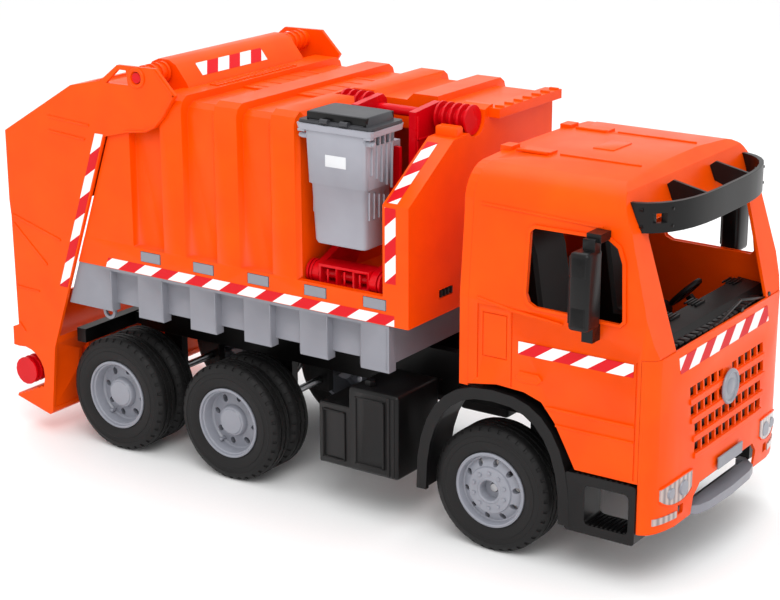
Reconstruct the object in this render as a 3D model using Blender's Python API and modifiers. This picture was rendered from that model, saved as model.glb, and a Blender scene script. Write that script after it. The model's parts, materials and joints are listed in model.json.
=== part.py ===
"""Toy refuse truck with a side bin lifter and a hinged rear hopper.

Millimetres are used throughout and turned to metres by MM when a mesh is made.
+X is the direction of travel, -Y the truck's right side (the lifter side), +Z up.
The origin lies on the ground under the middle of the truck's length.
"""
import math

import bmesh
import bpy
from mathutils import Matrix, Vector

MM = 0.001
GAP = 0.3                      # clearance between touching pieces

# Driving dimensions
TYRE_RADIUS = 57.0
TYRE_BORE = 34.2
RIM_RADIUS = TYRE_BORE - GAP
WHEEL_FACE = 121.6             # outer face of every wheel, from the centre plane
SINGLE_WIDTH = 36.0
DOUBLE_WIDTH = 57.0
AXLE_X = {"rear": -234.2, "mid": -96.0, "front": 191.6}
AXLE_RADIUS = 3.6
AXLE_BORE = AXLE_RADIUS + GAP

SIDE = 124.4                   # container rib faces, from the centre plane
WALL = 3.0
RIB_DEPTH = 8.0
RIB_PITCH = 63.7
RIB_FRONTS = [-200.0 + RIB_PITCH * i for i in range(5)]
RIB_LENGTH = 26.0
RIB_RAMP = 7.0
RAIL_BOTTOM = 187.5
RAIL_TOP = 213.0
ROOF = 363.0
CONTAINER_FRONT = 110.6
TILT = 0.351                   # lean of the joint between container and tailgate
TILT_FOOT = (-211.0, 360.0)    # a point on the container's rear edge

BAY_REAR = -8.0
BAY_FRONT = 84.0
BAY_INNER = 6.0
BAY_FLOOR = 205.0
SILL_INNER = -117.5

PIVOT = (-184.0, 376.0)        # tailgate hinge, x and z
PLATE_OUT = 128.3
PLATE_IN = 124.8
REAR_LIFT = (-347.5, 62.0)     # rear lifter shaft, x and z
LIFT_AXIS = (-18.0, 352.0)     # side lifter shaft, y and z
BAR_AXIS = (-104.0, 218.0)     # lower crossbar of the side lifter, y and z
BIN_X = 35.5
LID_AXIS = (-126.6, 360.2)     # bin lid hinge, y and z
DOOR_PLANE = 125.0

PARTS = bpy.data.collections.new("refuse_truck")

PLANES = {
    "XY": Matrix(((1, 0, 0, 0), (0, 1, 0, 0), (0, 0, 1, 0), (0, 0, 0, 1))),
    "XZ": Matrix(((1, 0, 0, 0), (0, 0, -1, 0), (0, 1, 0, 0), (0, 0, 0, 1))),
    "YZ": Matrix(((0, 0, 1, 0), (1, 0, 0, 0), (0, 1, 0, 0), (0, 0, 0, 1))),
}
AXIS_INDEX = {"X": 0, "Y": 1, "Z": 2}


def clear_scene():
    for obj in list(bpy.data.objects):
        bpy.data.objects.remove(obj)
    bpy.context.scene.collection.children.link(PARTS)


def add_object(name, mesh):
    obj = bpy.data.objects.new(name, mesh)
    PARTS.objects.link(obj)
    return obj


def evaluated_mesh(obj):
    """A plain mesh of the object with its modifiers applied, in world space."""
    bpy.context.view_layer.update()
    graph = bpy.context.evaluated_depsgraph_get()
    mesh = bpy.data.meshes.new_from_object(obj.evaluated_get(graph))
    mesh.transform(obj.matrix_world)
    return mesh


def weld(mesh, distance=0.00002):
    work = bmesh.new()
    work.from_mesh(mesh)
    bmesh.ops.remove_doubles(work, verts=work.verts, dist=distance)
    bmesh.ops.recalc_face_normals(work, faces=work.faces)
    work.to_mesh(mesh)
    work.free()


def prism(loops, plane, low, high):
    """A flat outline extruded between two places along the plane's normal.

    loops is one outline, or a list of outlines whose inner ones are holes.
    For the XZ plane low and high are y, for YZ they are x and for XY they are z.
    """
    if not isinstance(loops[0], list):
        loops = [loops]
    curve = bpy.data.curves.new("outline", "CURVE")
    curve.dimensions = "2D"
    curve.fill_mode = "BOTH"
    curve.extrude = (high - low) / 2 * MM
    for loop in loops:
        spline = curve.splines.new("POLY")
        spline.points.add(len(loop) - 1)
        for point, (u, v) in zip(spline.points, loop):
            point.co = (u * MM, v * MM, 0, 1)
        spline.use_cyclic_u = True
    guide = bpy.data.objects.new("outline", curve)
    PARTS.objects.link(guide)
    middle = (low + high) / 2 * MM
    if plane == "XZ":
        middle = -middle
    guide.matrix_world = PLANES[plane] @ Matrix.Translation((0, 0, middle))
    mesh = evaluated_mesh(guide)
    bpy.data.objects.remove(guide)
    weld(mesh)
    return add_object("prism", mesh)


def box(low, high):
    """A box between two opposite corners."""
    work = bmesh.new()
    bmesh.ops.create_cube(work, size=1.0)
    size = [(b - a) * MM for a, b in zip(low, high)]
    centre = [(a + b) / 2 * MM for a, b in zip(low, high)]
    bmesh.ops.scale(work, vec=size, verts=work.verts)
    bmesh.ops.translate(work, vec=centre, verts=work.verts)
    mesh = bpy.data.meshes.new("box")
    work.to_mesh(mesh)
    work.free()
    return add_object("box", mesh)


def rod(axis, centre, radius, low, high, segments=20):
    """A cylinder along X, Y or Z; centre holds the other two coordinates in order."""
    index = AXIS_INDEX[axis]
    work = bmesh.new()
    bmesh.ops.create_cone(work, cap_ends=True, segments=segments, radius1=radius * MM,
                          radius2=radius * MM, depth=(high - low) * MM)
    turn = {0: Matrix.Rotation(math.pi / 2, 3, "Y"), 1: Matrix.Rotation(math.pi / 2, 3, "X"),
            2: Matrix.Identity(3)}[index]
    bmesh.ops.rotate(work, matrix=turn, verts=work.verts)
    place = list(centre)
    place.insert(index, (low + high) / 2)
    bmesh.ops.translate(work, vec=Vector(place) * MM, verts=work.verts)
    mesh = bpy.data.meshes.new("rod")
    work.to_mesh(mesh)
    work.free()
    return add_object("rod", mesh)


def turned(profile, axis, centre, steps=32, direction=1, start=0.0, closed=True):
    """A turned solid. The profile holds (radius, distance) pairs; the distance runs along the
    axis from start, in the given direction. Open profiles begin and end on the axis."""
    index = AXIS_INDEX[axis]
    along = Vector((0, 0, 0))
    along[index] = 1.0
    across = Vector((0, 0, 1)) if index != 2 else Vector((1, 0, 0))
    place = list(centre)
    place.insert(index, 0.0)
    origin = Vector(place) * MM
    work = bmesh.new()
    verts = [work.verts.new(origin + across * r * MM + along * (start + direction * w) * MM)
             for r, w in profile]
    pairs = list(zip(verts, verts[1:]))
    if closed:
        pairs.append((verts[-1], verts[0]))
    edges = [work.edges.new(pair) for pair in pairs]
    bmesh.ops.spin(work, geom=verts + edges, cent=origin, axis=along, angle=2 * math.pi,
                   steps=steps, use_merge=True)
    bmesh.ops.remove_doubles(work, verts=work.verts, dist=0.00002)
    bmesh.ops.recalc_face_normals(work, faces=work.faces)
    mesh = bpy.data.meshes.new("turned")
    work.to_mesh(mesh)
    work.free()
    return add_object("turned", mesh)


def combine(target, tools, operation):
    """Boolean the tools into the target, then remove them."""
    for tool in tools:
        modifier = target.modifiers.new("boolean", "BOOLEAN")
        modifier.solver = "EXACT"
        modifier.operation = operation
        modifier.object = tool
        mesh = evaluated_mesh(target)
        target.modifiers.clear()
        target.data = mesh
        target.matrix_world = Matrix.Identity(4)
        bpy.data.objects.remove(tool)
    return target


def cut(target, *tools):
    return combine(target, tools, "DIFFERENCE")


def join(target, *tools):
    return combine(target, tools, "UNION")


def common(target, *tools):
    return combine(target, tools, "INTERSECT")


def rounded(obj, radius, segments=2, angle=40):
    """Round the sharp edges of a simple solid."""
    modifier = obj.modifiers.new("round", "BEVEL")
    modifier.width = radius * MM
    modifier.segments = segments
    modifier.limit_method = "ANGLE"
    modifier.angle_limit = math.radians(angle)
    mesh = evaluated_mesh(obj)
    obj.modifiers.clear()
    obj.data = mesh
    weld(obj.data)
    return obj


def mirrored(obj):
    """A copy on the other side of the centre plane."""
    mesh = obj.data.copy()
    mesh.transform(Matrix.Scale(-1, 4, (0, 1, 0)))
    mesh.flip_normals()
    return add_object("mirrored", mesh)


def arc(centre, radius, first, last, steps):
    """Points on a circle, angles in degrees."""
    points = []
    for i in range(steps + 1):
        angle = math.radians(first + (last - first) * i / steps)
        points.append((centre[0] + radius * math.cos(angle), centre[1] + radius * math.sin(angle)))
    return points


def rounded_rectangle(low, high, radius, steps=3):
    corners = [((high[0] - radius, high[1] - radius), 0), ((low[0] + radius, high[1] - radius), 90),
               ((low[0] + radius, low[1] + radius), 180), ((high[0] - radius, low[1] + radius), 270)]
    points = []
    for centre, first in corners:
        points += arc(centre, radius, first, first + 90, steps)
    return points


def reflect(points):
    """Close a half outline by adding its mirror image across the first coordinate."""
    return points + [(-u, v) for u, v in reversed(points)]


class Finish:
    """Plain colours of the moulded plastics."""
    made = {}

    @classmethod
    def get(cls, name):
        colours = {
            "orange": ((1.0, 0.16, 0.002), 0.35, 0.0),
            "red": ((0.72, 0.006, 0.012), 0.35, 0.0),
            "black": ((0.012, 0.011, 0.011), 0.45, 0.0),
            "tyre": ((0.016, 0.015, 0.015), 0.65, 0.0),
            "grey": ((0.36, 0.37, 0.40), 0.4, 0.0),
            "silver": ((0.42, 0.44, 0.47), 0.35, 0.2),
            "steel": ((0.5, 0.5, 0.5), 0.3, 1.0),
        }
        if name not in cls.made:
            colour, roughness, metallic = colours[name]
            material = bpy.data.materials.new("plastic_" + name)
            material.use_nodes = True
            shader = material.node_tree.nodes["Principled BSDF"]
            shader.inputs["Base Color"].default_value = (*colour, 1.0)
            shader.inputs["Roughness"].default_value = roughness
            shader.inputs["Metallic"].default_value = metallic
            material.diffuse_color = (*colour, 1.0)
            cls.made[name] = material
        return cls.made[name]


def body_empty(name, place, parent=None):
    """An empty on a joint's axis that carries one moving body."""
    empty = bpy.data.objects.new("body_" + name, None)
    PARTS.objects.link(empty)
    empty.parent = parent
    offset = Vector(place) * MM
    if parent is not None:
        offset -= parent.matrix_world.translation
    empty.location = offset
    bpy.context.view_layer.update()
    return empty


def finish(obj, name, colour, body, smooth=True):
    """Name a piece, colour it and hang it on its body's empty."""
    obj.name = name
    obj.data.name = name
    origin = body.matrix_world.translation.copy()
    obj.data.transform(Matrix.Translation(-origin))
    obj.parent = body
    obj.data.materials.clear()
    obj.data.materials.append(Finish.get(colour))
    if smooth:
        obj.data.shade_smooth()
        obj.data.set_sharp_from_angle(angle=math.radians(32))
    return obj


def joint_x(z, behind=0.0):
    """The slanting joint between container and tailgate, at height z."""
    return TILT_FOOT[0] - TILT * (TILT_FOOT[1] - z) - behind


# ---------------------------------------------------------------- running gear

def make_chassis(root):
    """Two rails, cross members that carry the container, axle hangers and the rear bracket."""
    frame = box((-276, 24, 96), (326, 34, 140))
    join(frame, box((-276, -34, 96), (326, -24, 140)))
    for x in (-262, -170, -40, 60, 148, 250, 312):
        join(frame, box((x - 6, -33, 100), (x + 6, 33, 136)))
    for x in (-262, -170, -40, 60):
        join(frame, box((x - 6, -34, 130), (x + 6, 34, 183.6)))
    join(frame, box((170, -60, 132), (330, 60, 140)))
    for x in AXLE_X.values():
        for side in (-1, 1):
            hanger = box((x - 11, side * 29 - 4.5, 47), (x + 11, side * 29 + 4.5, 110))
            join(frame, hanger)
        cut(frame, rod("Y", (x, TYRE_RADIUS), AXLE_BORE, -40, 40, 16))
    join(frame, box((-294, -108, 98), (-283, 108, 112)), box((-290, -34, 99), (-270, 34, 111)))
    return finish(frame, "chassis_frame", "black", root, smooth=False)


def make_axles(root):
    for place, x in AXLE_X.items():
        end = 113.0 if place == "front" else 108.2
        finish(rod("Y", (x, TYRE_RADIUS), AXLE_RADIUS, -end, end, 16), "axle_" + place, "steel", root)


def tyre_profile(width, double):
    half = [(TYRE_BORE, 2.0), (41.0, 0.0), (50.0, 0.5), (54.6, 2.6), (TYRE_RADIUS, 7.0)]
    far = [(r, width - w) for r, w in reversed(half)]
    middle = []
    if double:
        centre = width / 2
        middle = [(TYRE_RADIUS, centre - 4), (53.0, centre - 1.5), (53.0, centre + 1.5),
                  (TYRE_RADIUS, centre + 4)]
    return half + middle + far


def front_rim_profile(width):
    back = width - 1.5
    return [(RIM_RADIUS, 0.8), (RIM_RADIUS, back), (31.0, back), (31.0, 11.5), (20.5, 8.0),
            (10.5, 8.0), (10.5, back), (AXLE_BORE, back), (AXLE_BORE, 7.5), (8.3, 7.5),
            (9.3, 0.3), (12.0, -0.6), (20.0, -0.6), (21.3, 2.0), (29.6, 6.6), (31.6, 0.8)]


def rear_rim_profile(width):
    back = width - 1.5
    return [(0.0, 13.0), (AXLE_BORE, 13.0), (AXLE_BORE, back), (10.5, back), (10.5, 19.0),
            (28.5, 19.5), (31.0, 24.0), (31.0, back), (RIM_RADIUS, back), (RIM_RADIUS, 0.8),
            (31.8, 0.8), (30.4, 4.0), (28.8, 14.5), (16.5, 12.5), (13.2, 7.0), (12.2, 5.2), (0.0, 5.0)]


def make_wheel(name, x, side, double, chassis):
    """A tyre and a rim, 36 mm wide or, for a twin wheel, 57 mm, turned about the axle."""
    width = DOUBLE_WIDTH if double else SINGLE_WIDTH
    wheel = body_empty("wheel_" + name, (x, 0, TYRE_RADIUS), chassis)
    place = {"axis": "Y", "centre": (x, TYRE_RADIUS), "direction": -side,
             "start": side * WHEEL_FACE}
    tyre = turned(tyre_profile(width, double), steps=28, **place)
    finish(tyre, "tyre_" + name, "tyre", wheel)
    if double:
        rim = turned(rear_rim_profile(width), steps=20, closed=False, **place)
        holes, ring, reach, size = 8, 22.6, 25.0, (3.4, 3.4)
    else:
        rim = turned(front_rim_profile(width), steps=20, **place)
        holes, ring, reach, size = 10, 25.4, 14.0, (2.8, 3.0)
    for i in range(holes):
        angle = 2 * math.pi * (i + 0.25) / holes
        hole = rod("Y", (0, 0), 1.0, -1, 1, 8)
        stretch = Matrix.Diagonal((size[0], 1.0, size[1], 1.0))
        turn = Matrix.Rotation(-angle, 4, "Y")
        centre = Vector((x + ring * math.sin(angle), side * (WHEEL_FACE - reach / 2),
                         TYRE_RADIUS + ring * math.cos(angle))) * MM
        deep = Matrix.Diagonal((1.0, reach / 2, 1.0, 1.0))
        hole.data.transform(Matrix.Translation(centre) @ turn.inverted() @ stretch @ deep)
        cut(rim, hole)
    finish(rim, "rim_" + name, "silver", wheel)


def make_wheels(chassis):
    for side, word in ((-1, "right"), (1, "left")):
        for place, x in AXLE_X.items():
            make_wheel(place + "_" + word, x, side, place != "front", chassis)


def make_side_boxes(root):
    """The tank box between middle and front wheel, with a lower step-shaped part behind it."""
    for side, word in ((-1, "right"), (1, "left")):
        main = rounded(box((47.5, -126.5, 46.0), (101.0, -60.0, 124.5)), 3.0)
        thin = rounded(box((15.0, -126.0, 46.6), (52.0, -66.0, 104.5)), 1.2, 1)
        join(main, thin)
        for x in (90.0, 95.0):
            join(main, box((x, -127.3, 48.5), (x + 2.4, -120.0, 122.0)))
        join(main, box((60.0, -62.0, 100.0), (88.0, -34.3, 112.0)))
        if side > 0:
            copy = mirrored(main)
            bpy.data.objects.remove(main)
            main = copy
        finish(main, "side_box_" + word, "black", root)
        cap = turned([(0, 0), (5.4, 0), (5.4, 3.5), (4.4, 5.0), (0, 5.0)], "Z", (62.0, side * 112.0),
                     steps=6, start=124.5 + GAP, closed=False)
        finish(cap, "filler_cap_" + word, "black", root, smooth=False)


def arch(half_width, height, steps=16, power=2.5):
    """The upper half of a superellipse over the front wheel, from rear to front."""
    points = []
    for i in range(steps + 1):
        angle = math.pi * (1 - i / steps)
        c, s = math.cos(angle), math.sin(angle)
        points.append((197.0 + half_width * math.copysign(abs(c) ** (2 / power), c),
                       46.0 + height * abs(s) ** (2 / power)))
    return points


def make_mudguards(root):
    """A deep arch over the front wheel, joined to the open step box in front of it."""
    for side, word in ((-1, "right"), (1, "left")):
        band = arch(76.0, 105.5) + list(reversed(arch(69.0, 98.5)))
        guard = prism(band, "XZ", -126.6, -84.0)
        rim = prism(arch(76.0, 105.5) + list(reversed(arch(66.0, 95.5))), "XZ", -127.4, -123.0)
        join(guard, rim)
        step = prism([rounded_rectangle((268.0, 43.0), (333.6, 95.0), 3.0),
                      rounded_rectangle((287.0, 51.5), (327.5, 86.5), 4.0)], "XZ", -126.8, -98.0)
        join(guard, step)
        join(guard, box((262.0, -124.0, 46.0), (272.0, -98.0, 90.0)))
        for x in (214.0, 226.0):
            join(guard, box((x, -90.0, 141.0), (x + 6.0, -60.0 - GAP, 146.0)))
        if side > 0:
            copy = mirrored(guard)
            bpy.data.objects.remove(guard)
            guard = copy
        finish(guard, "mudguard_" + word, "black", root)


# ---------------------------------------------------------------- cab

def cab_section(inset):
    """Cross-section of the cab from door sill to roof, in y and z."""
    side = DOOR_PLANE - inset
    roof = 341.5 - inset
    half = [(side, 60.0), (side, 228.0), (side - 6.5, 300.0)]
    half += arc((87.5, 308.0), 31.0 - inset, 8, 84, 6)
    half += [(40.0, roof)]
    return reflect(half)


def cab_profile(inset, rear):
    """Side view of the cab, in x and z."""
    return [(rear, 60.0), (rear, 345.0), (292.0 - inset, 345.0),
            (306.0 - inset, 333.0 - inset), (318.0 - inset, 303.0), (346.0 - inset, 203.0),
            (352.0 - inset, 60.0)]


def front_plan(inset, rear):
    """Plan of the bowed cab front with its round corners, in x and y."""
    half = []
    for angle in (0, 12, 24, 36, 48, 60, 72, 84, 90):
        c = math.cos(math.radians(angle))
        s = math.sin(math.radians(angle))
        half.append((330.0 - inset + 26.0 * c ** 0.62, (DOOR_PLANE - inset) * s ** 0.62))
    half.append((rear, DOOR_PLANE - inset))
    return half + [(x, -y) for x, y in reversed(half[1:])]


def cab_solid(inset, rear):
    solid = prism(cab_profile(inset, rear), "XZ", -130.0, 130.0)
    common(solid, prism(cab_section(inset), "YZ", rear - 10, 370.0))
    return common(solid, prism(front_plan(inset, rear - 10), "XY", 50.0, 360.0))


def door_window():
    """Side window with a raked front edge."""
    return [(226.5, 240.0), (229.5, 233.5), (236.0, 230.5), (314.0, 229.5), (317.0, 232.5),
            (313.0, 279.0), (308.0, 291.0), (299.0, 296.5), (231.0, 296.0), (227.0, 292.5)]


def make_cab(root):
    shell = cab_solid(0.0, 171.5)
    cut(shell, cab_solid(WALL, 100.0))
    cut(shell, box((100, -140, 40), (172.5, 140, 152.0)))
    under = [(100.0, 30.0), (100.0, 152.0), (172.0, 152.0), (200.0, 156.5), (226.0, 155.0),
             (243.0, 149.5), (256.0, 134.0), (268.0, 112.0), (276.0, 97.0), (360.0, 97.0), (360.0, 30.0)]
    cut(shell, prism(under, "XZ", -140.0, 140.0))
    cut(shell, box((333.7, -140, 30), (370.0, 140, 203.3)))
    cut(shell, prism(door_window(), "XZ", -140.0, 140.0))
    windscreen = [(-88.0, 200.0), (88.0, 200.0), (93.5, 296.0), (89.0, 306.0), (-89.0, 306.0), (-93.5, 296.0)]
    cut(shell, prism(windscreen, "YZ", 296.0, 370.0))
    for side in (-1, 1):
        join(shell, box((180.0, side * 51 - 6, 338.0), (208.0, side * 51 + 6, 343.2)))
    finish(shell, "cab_shell", "orange", root)

    back = prism(cab_section(0.6), "YZ", 162.5, 171.2)
    cut(back, box((150, -140, 50), (175, 140, 150.0)))
    pocket = prism(cab_section(4.0), "YZ", 165.5, 180.0)
    cut(pocket, box((150, -140, 50), (190, 140, 154.0)))
    cut(back, pocket)
    for side in (-1, 1):
        join(back, box((160.0, side * 51 - 7, 330.0), (171.0, side * 51 + 7, 344.0)))
    finish(back, "cab_rear_frame", "orange", root)

    mask = prism(front_plan(0.0, 300.0), "XY", 40.0, 220.0)
    common(mask, prism([(334.0, 53.0), (352.5, 53.0), (357.0, 90.0), (352.0, 165.0), (347.0, 203.0),
                        (334.0, 203.0)], "XZ", -130.0, 130.0))
    inner = prism(front_plan(WALL, 300.0), "XY", 30.0, 230.0)
    common(inner, prism([(325.0, 40.0), (349.5, 40.0), (354.0, 90.0), (349.0, 165.0), (344.0, 210.0),
                         (325.0, 210.0)], "XZ", -125.0, 125.0))
    cut(mask, inner)
    for row, (z, count) in enumerate(((163.5, 11), (147.0, 11), (130.5, 10), (114.5, 10))):
        pitch = 13.2
        for i in range(count):
            y = (i - (count - 1) / 2) * pitch
            if row < 2 and abs(y) < 13.0:
                continue
            cut(mask, box((340.0, y - 4.2, z - 3.6), (362.0, y + 4.2, z + 3.4)))
    cut(mask, prism([(-62.0, 40.0), (62.0, 40.0), (62.0, 70.0), (52.0, 80.0), (-52.0, 80.0), (-62.0, 70.0)],
                    "YZ", 340.0, 365.0))
    for side in (-1, 1):
        cut(mask, box((336.0, side * 83.5 - 4, 62.0), (362.0, side * 83.5 + 4, 70.0)))
        join(mask, box((333.9, side * 112 - 8, 98.0), (338.0, side * 112 + 8, 112.0)))
    finish(mask, "cab_front_mask", "orange", root)

    badge = turned([(0, 0), (15.5, 0), (15.5, 1.6), (12.5, 2.6), (11.5, 1.8), (8.0, 2.8), (0, 3.4)],
                   "X", (0.0, 149.0), steps=28, start=354.5, closed=False)
    finish(badge, "grille_badge", "silver", root)
    finish(rounded(box((357.4, -24.0, 81.5), (359.0, 24.0, 92.5)), 0.5, 1), "number_plate_blank", "grey", root)

    bar = prism([(344.0, 66.0), (356.5, 54.0), (359.8, 40.0), (361.6, 0.0), (359.8, -40.0), (356.5, -54.0),
                 (344.0, -66.0), (338.0, -66.0), (338.0, 66.0)], "XY", 51.5, 59.5)
    cut(bar, box((330.0, -58.0, 54.5), (345.0, 58.0, 70.0)))
    finish(bar, "front_step_bar", "grey", root)

    carrier = box((326.4, -60.0, 62.0), (333.4, 60.0, 131.7))
    join(carrier, box((326.4, -46.0, 62.0), (337.7, 46.0, 66.0)))
    join(carrier, box((326.4, -110.0, 98.6), (333.4, 110.0, 108.0)))
    finish(carrier, "front_carrier", "black", root, smooth=False)


def visor_plan(offset):
    """The bowed sun visor, half plan from centre to end, in x and y."""
    points = []
    for i in range(11):
        y = 107.0 * math.sin(math.pi / 2 * i / 10)
        x = 306.0 + 43.0 * math.sqrt(max(0.0, 1 - (y / 107.0) ** 3.4))
        points.append((x - offset, y))
    return points


def make_visor(root):
    outer = visor_plan(0.0)
    inner = [(x, y * 0.965) for x, y in visor_plan(3.2)]
    front = outer + list(reversed(inner))
    half = prism(front, "XY", 301.0, 325.5)
    visor = join(mirrored(half), half)
    for side in (-1, 1):
        cut(visor, box((326.0, side * 95.0 - 9, 309.0), (345.0, side * 95.0 + 5, 317.0)))
        join(visor, prism([(300.0, 320.0), (343.0, 303.0), (347.4, 303.0), (347.4, 324.0), (314.0, 331.0)], "XZ",
                          side * 40.0 - 1.5, side * 40.0 + 1.5))
    return visor


def make_cab_fittings(root):
    visor = make_visor(root)
    cutter = cab_solid(-GAP, 171.5)
    cut(visor, cutter)
    finish(visor, "sun_visor", "black", root)

    for side, word in ((-1, "right"), (1, "left")):
        housing = rounded(box((280.0, -152.0, 226.0), (298.5, -128.5, 291.0)), 3.5, 2)
        join(housing, box((286.0, -140.0, 286.0), (297.0, -130.0, 300.0)))
        join(housing, box((287.0, -136.0, 297.0), (300.0, -119.3, 304.0)))
        join(housing, box((286.0, -138.0, 214.0), (296.0, -125.0 - GAP, 230.0)))
        if side > 0:
            copy = mirrored(housing)
            bpy.data.objects.remove(housing)
            housing = copy
        cut(housing, cab_solid(-GAP, 171.5))
        finish(housing, "mirror_" + word, "black", root)

    inside = box((176.0, -118.0, 156.8), (333.0, 118.0, 160.0))
    cut(inside, box((300.0, -200.0, 150.0), (340.0, -121.5, 170.0)))
    dash = prism([(296.0, 158.0), (333.0, 158.0), (340.0, 199.0), (330.0, 208.0), (308.0, 210.0),
                  (298.0, 200.0)], "XZ", -112.0, 112.0)
    common(dash, cab_solid(WALL + 1.0, 171.5))
    join(inside, dash)
    for y in (-62.0, 62.0):
        seat = prism([(196.0, 158.0), (252.0, 158.0), (258.0, 180.0), (250.0, 186.0), (226.0, 184.0),
                      (214.0, 262.0), (206.0, 284.0), (196.0, 284.0), (190.0, 262.0)], "XZ", y - 27.0, y + 27.0)
        join(inside, rounded(seat, 3.0, 1))
    join(inside, box((200.0, -20.0, 158.0), (250.0, 20.0, 178.0)))
    column = prism([(282.3, 199.4), (299.6, 183.3), (303.0, 187.0), (285.7, 203.0)], "XZ", 58.0, 64.0)
    join(inside, column)
    finish(inside, "cab_interior", "black", root)

    wheel = turned([(14.0, -2.0), (17.0, -2.0), (18.0, 0.0), (17.0, 2.0), (14.0, 2.0), (13.0, 0.0)],
                   "X", (0.0, 0.0), steps=24)
    for angle in (30, 150, 270):
        spoke = box((-1.5, -2.0, 0.0), (1.5, 2.0, 14.5))
        spoke.data.transform(Matrix.Rotation(math.radians(angle), 4, "X"))
        join(wheel, spoke)
    join(wheel, rod("X", (0, 0), 5.0, -2.5, 2.5, 12))
    tilt = Matrix.Translation(Vector((281.0, 61.0, 204.0)) * MM) @ Matrix.Rotation(math.radians(43), 4, "Y")
    wheel.data.transform(tilt)
    finish(wheel, "steering_wheel", "black", root)


# ---------------------------------------------------------------- container

def body_section(inset):
    """Cross-section of the container; inset is how far a panel lies behind the rib faces."""
    side = SIDE - inset
    roof = ROOF - inset * 0.8
    half = [(SIDE, RAIL_BOTTOM), (SIDE, RAIL_TOP), (side - 0.2, RAIL_TOP + 1.5), (side, roof - 11.0),
            (side - 2.5, roof - 4.5), (side - 9.0, roof), (side - 30.0, roof)]
    return reflect(half)


def container_stations():
    """Places along the container where the rib height changes: x and inset."""
    stations = []
    for i, front in enumerate(RIB_FRONTS):
        if i > 0:
            stations.append((front - RIB_LENGTH - RIB_RAMP, RIB_DEPTH))
            stations.append((front - RIB_LENGTH, 0.0))
        stations.append((front, 0.0))
        stations.append((front + 0.8, RIB_DEPTH))
    stations.append((CONTAINER_FRONT, RIB_DEPTH))
    return stations


def loft(sections):
    """A closed skin through sections with equal point counts, each a list of xyz points."""
    work = bmesh.new()
    rings = []
    for section in sections:
        rings.append([work.verts.new(Vector(point) * MM) for point in section])
    for ring, following in zip(rings, rings[1:]):
        count = len(ring)
        for i in range(count):
            j = (i + 1) % count
            work.faces.new((ring[i], ring[j], following[j], following[i]))
    work.faces.new(rings[0])
    work.faces.new(rings[-1])
    bmesh.ops.recalc_face_normals(work, faces=work.faces)
    mesh = bpy.data.meshes.new("loft")
    work.to_mesh(mesh)
    work.free()
    return add_object("loft", mesh)


def pillar_top():
    """Upper outline of the front wall beside the bay, in y and z, from the outside inwards."""
    notch = arc(LIFT_AXIS, 14.6, 221, 360, 9)
    return [(-SIDE, 295.0), (-54.0, 341.0), (-29.5, 342.4)] + notch + [(LIFT_AXIS[0] + 14.6, 359.0),
                                                                    (BAY_INNER, 362.0)]


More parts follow.
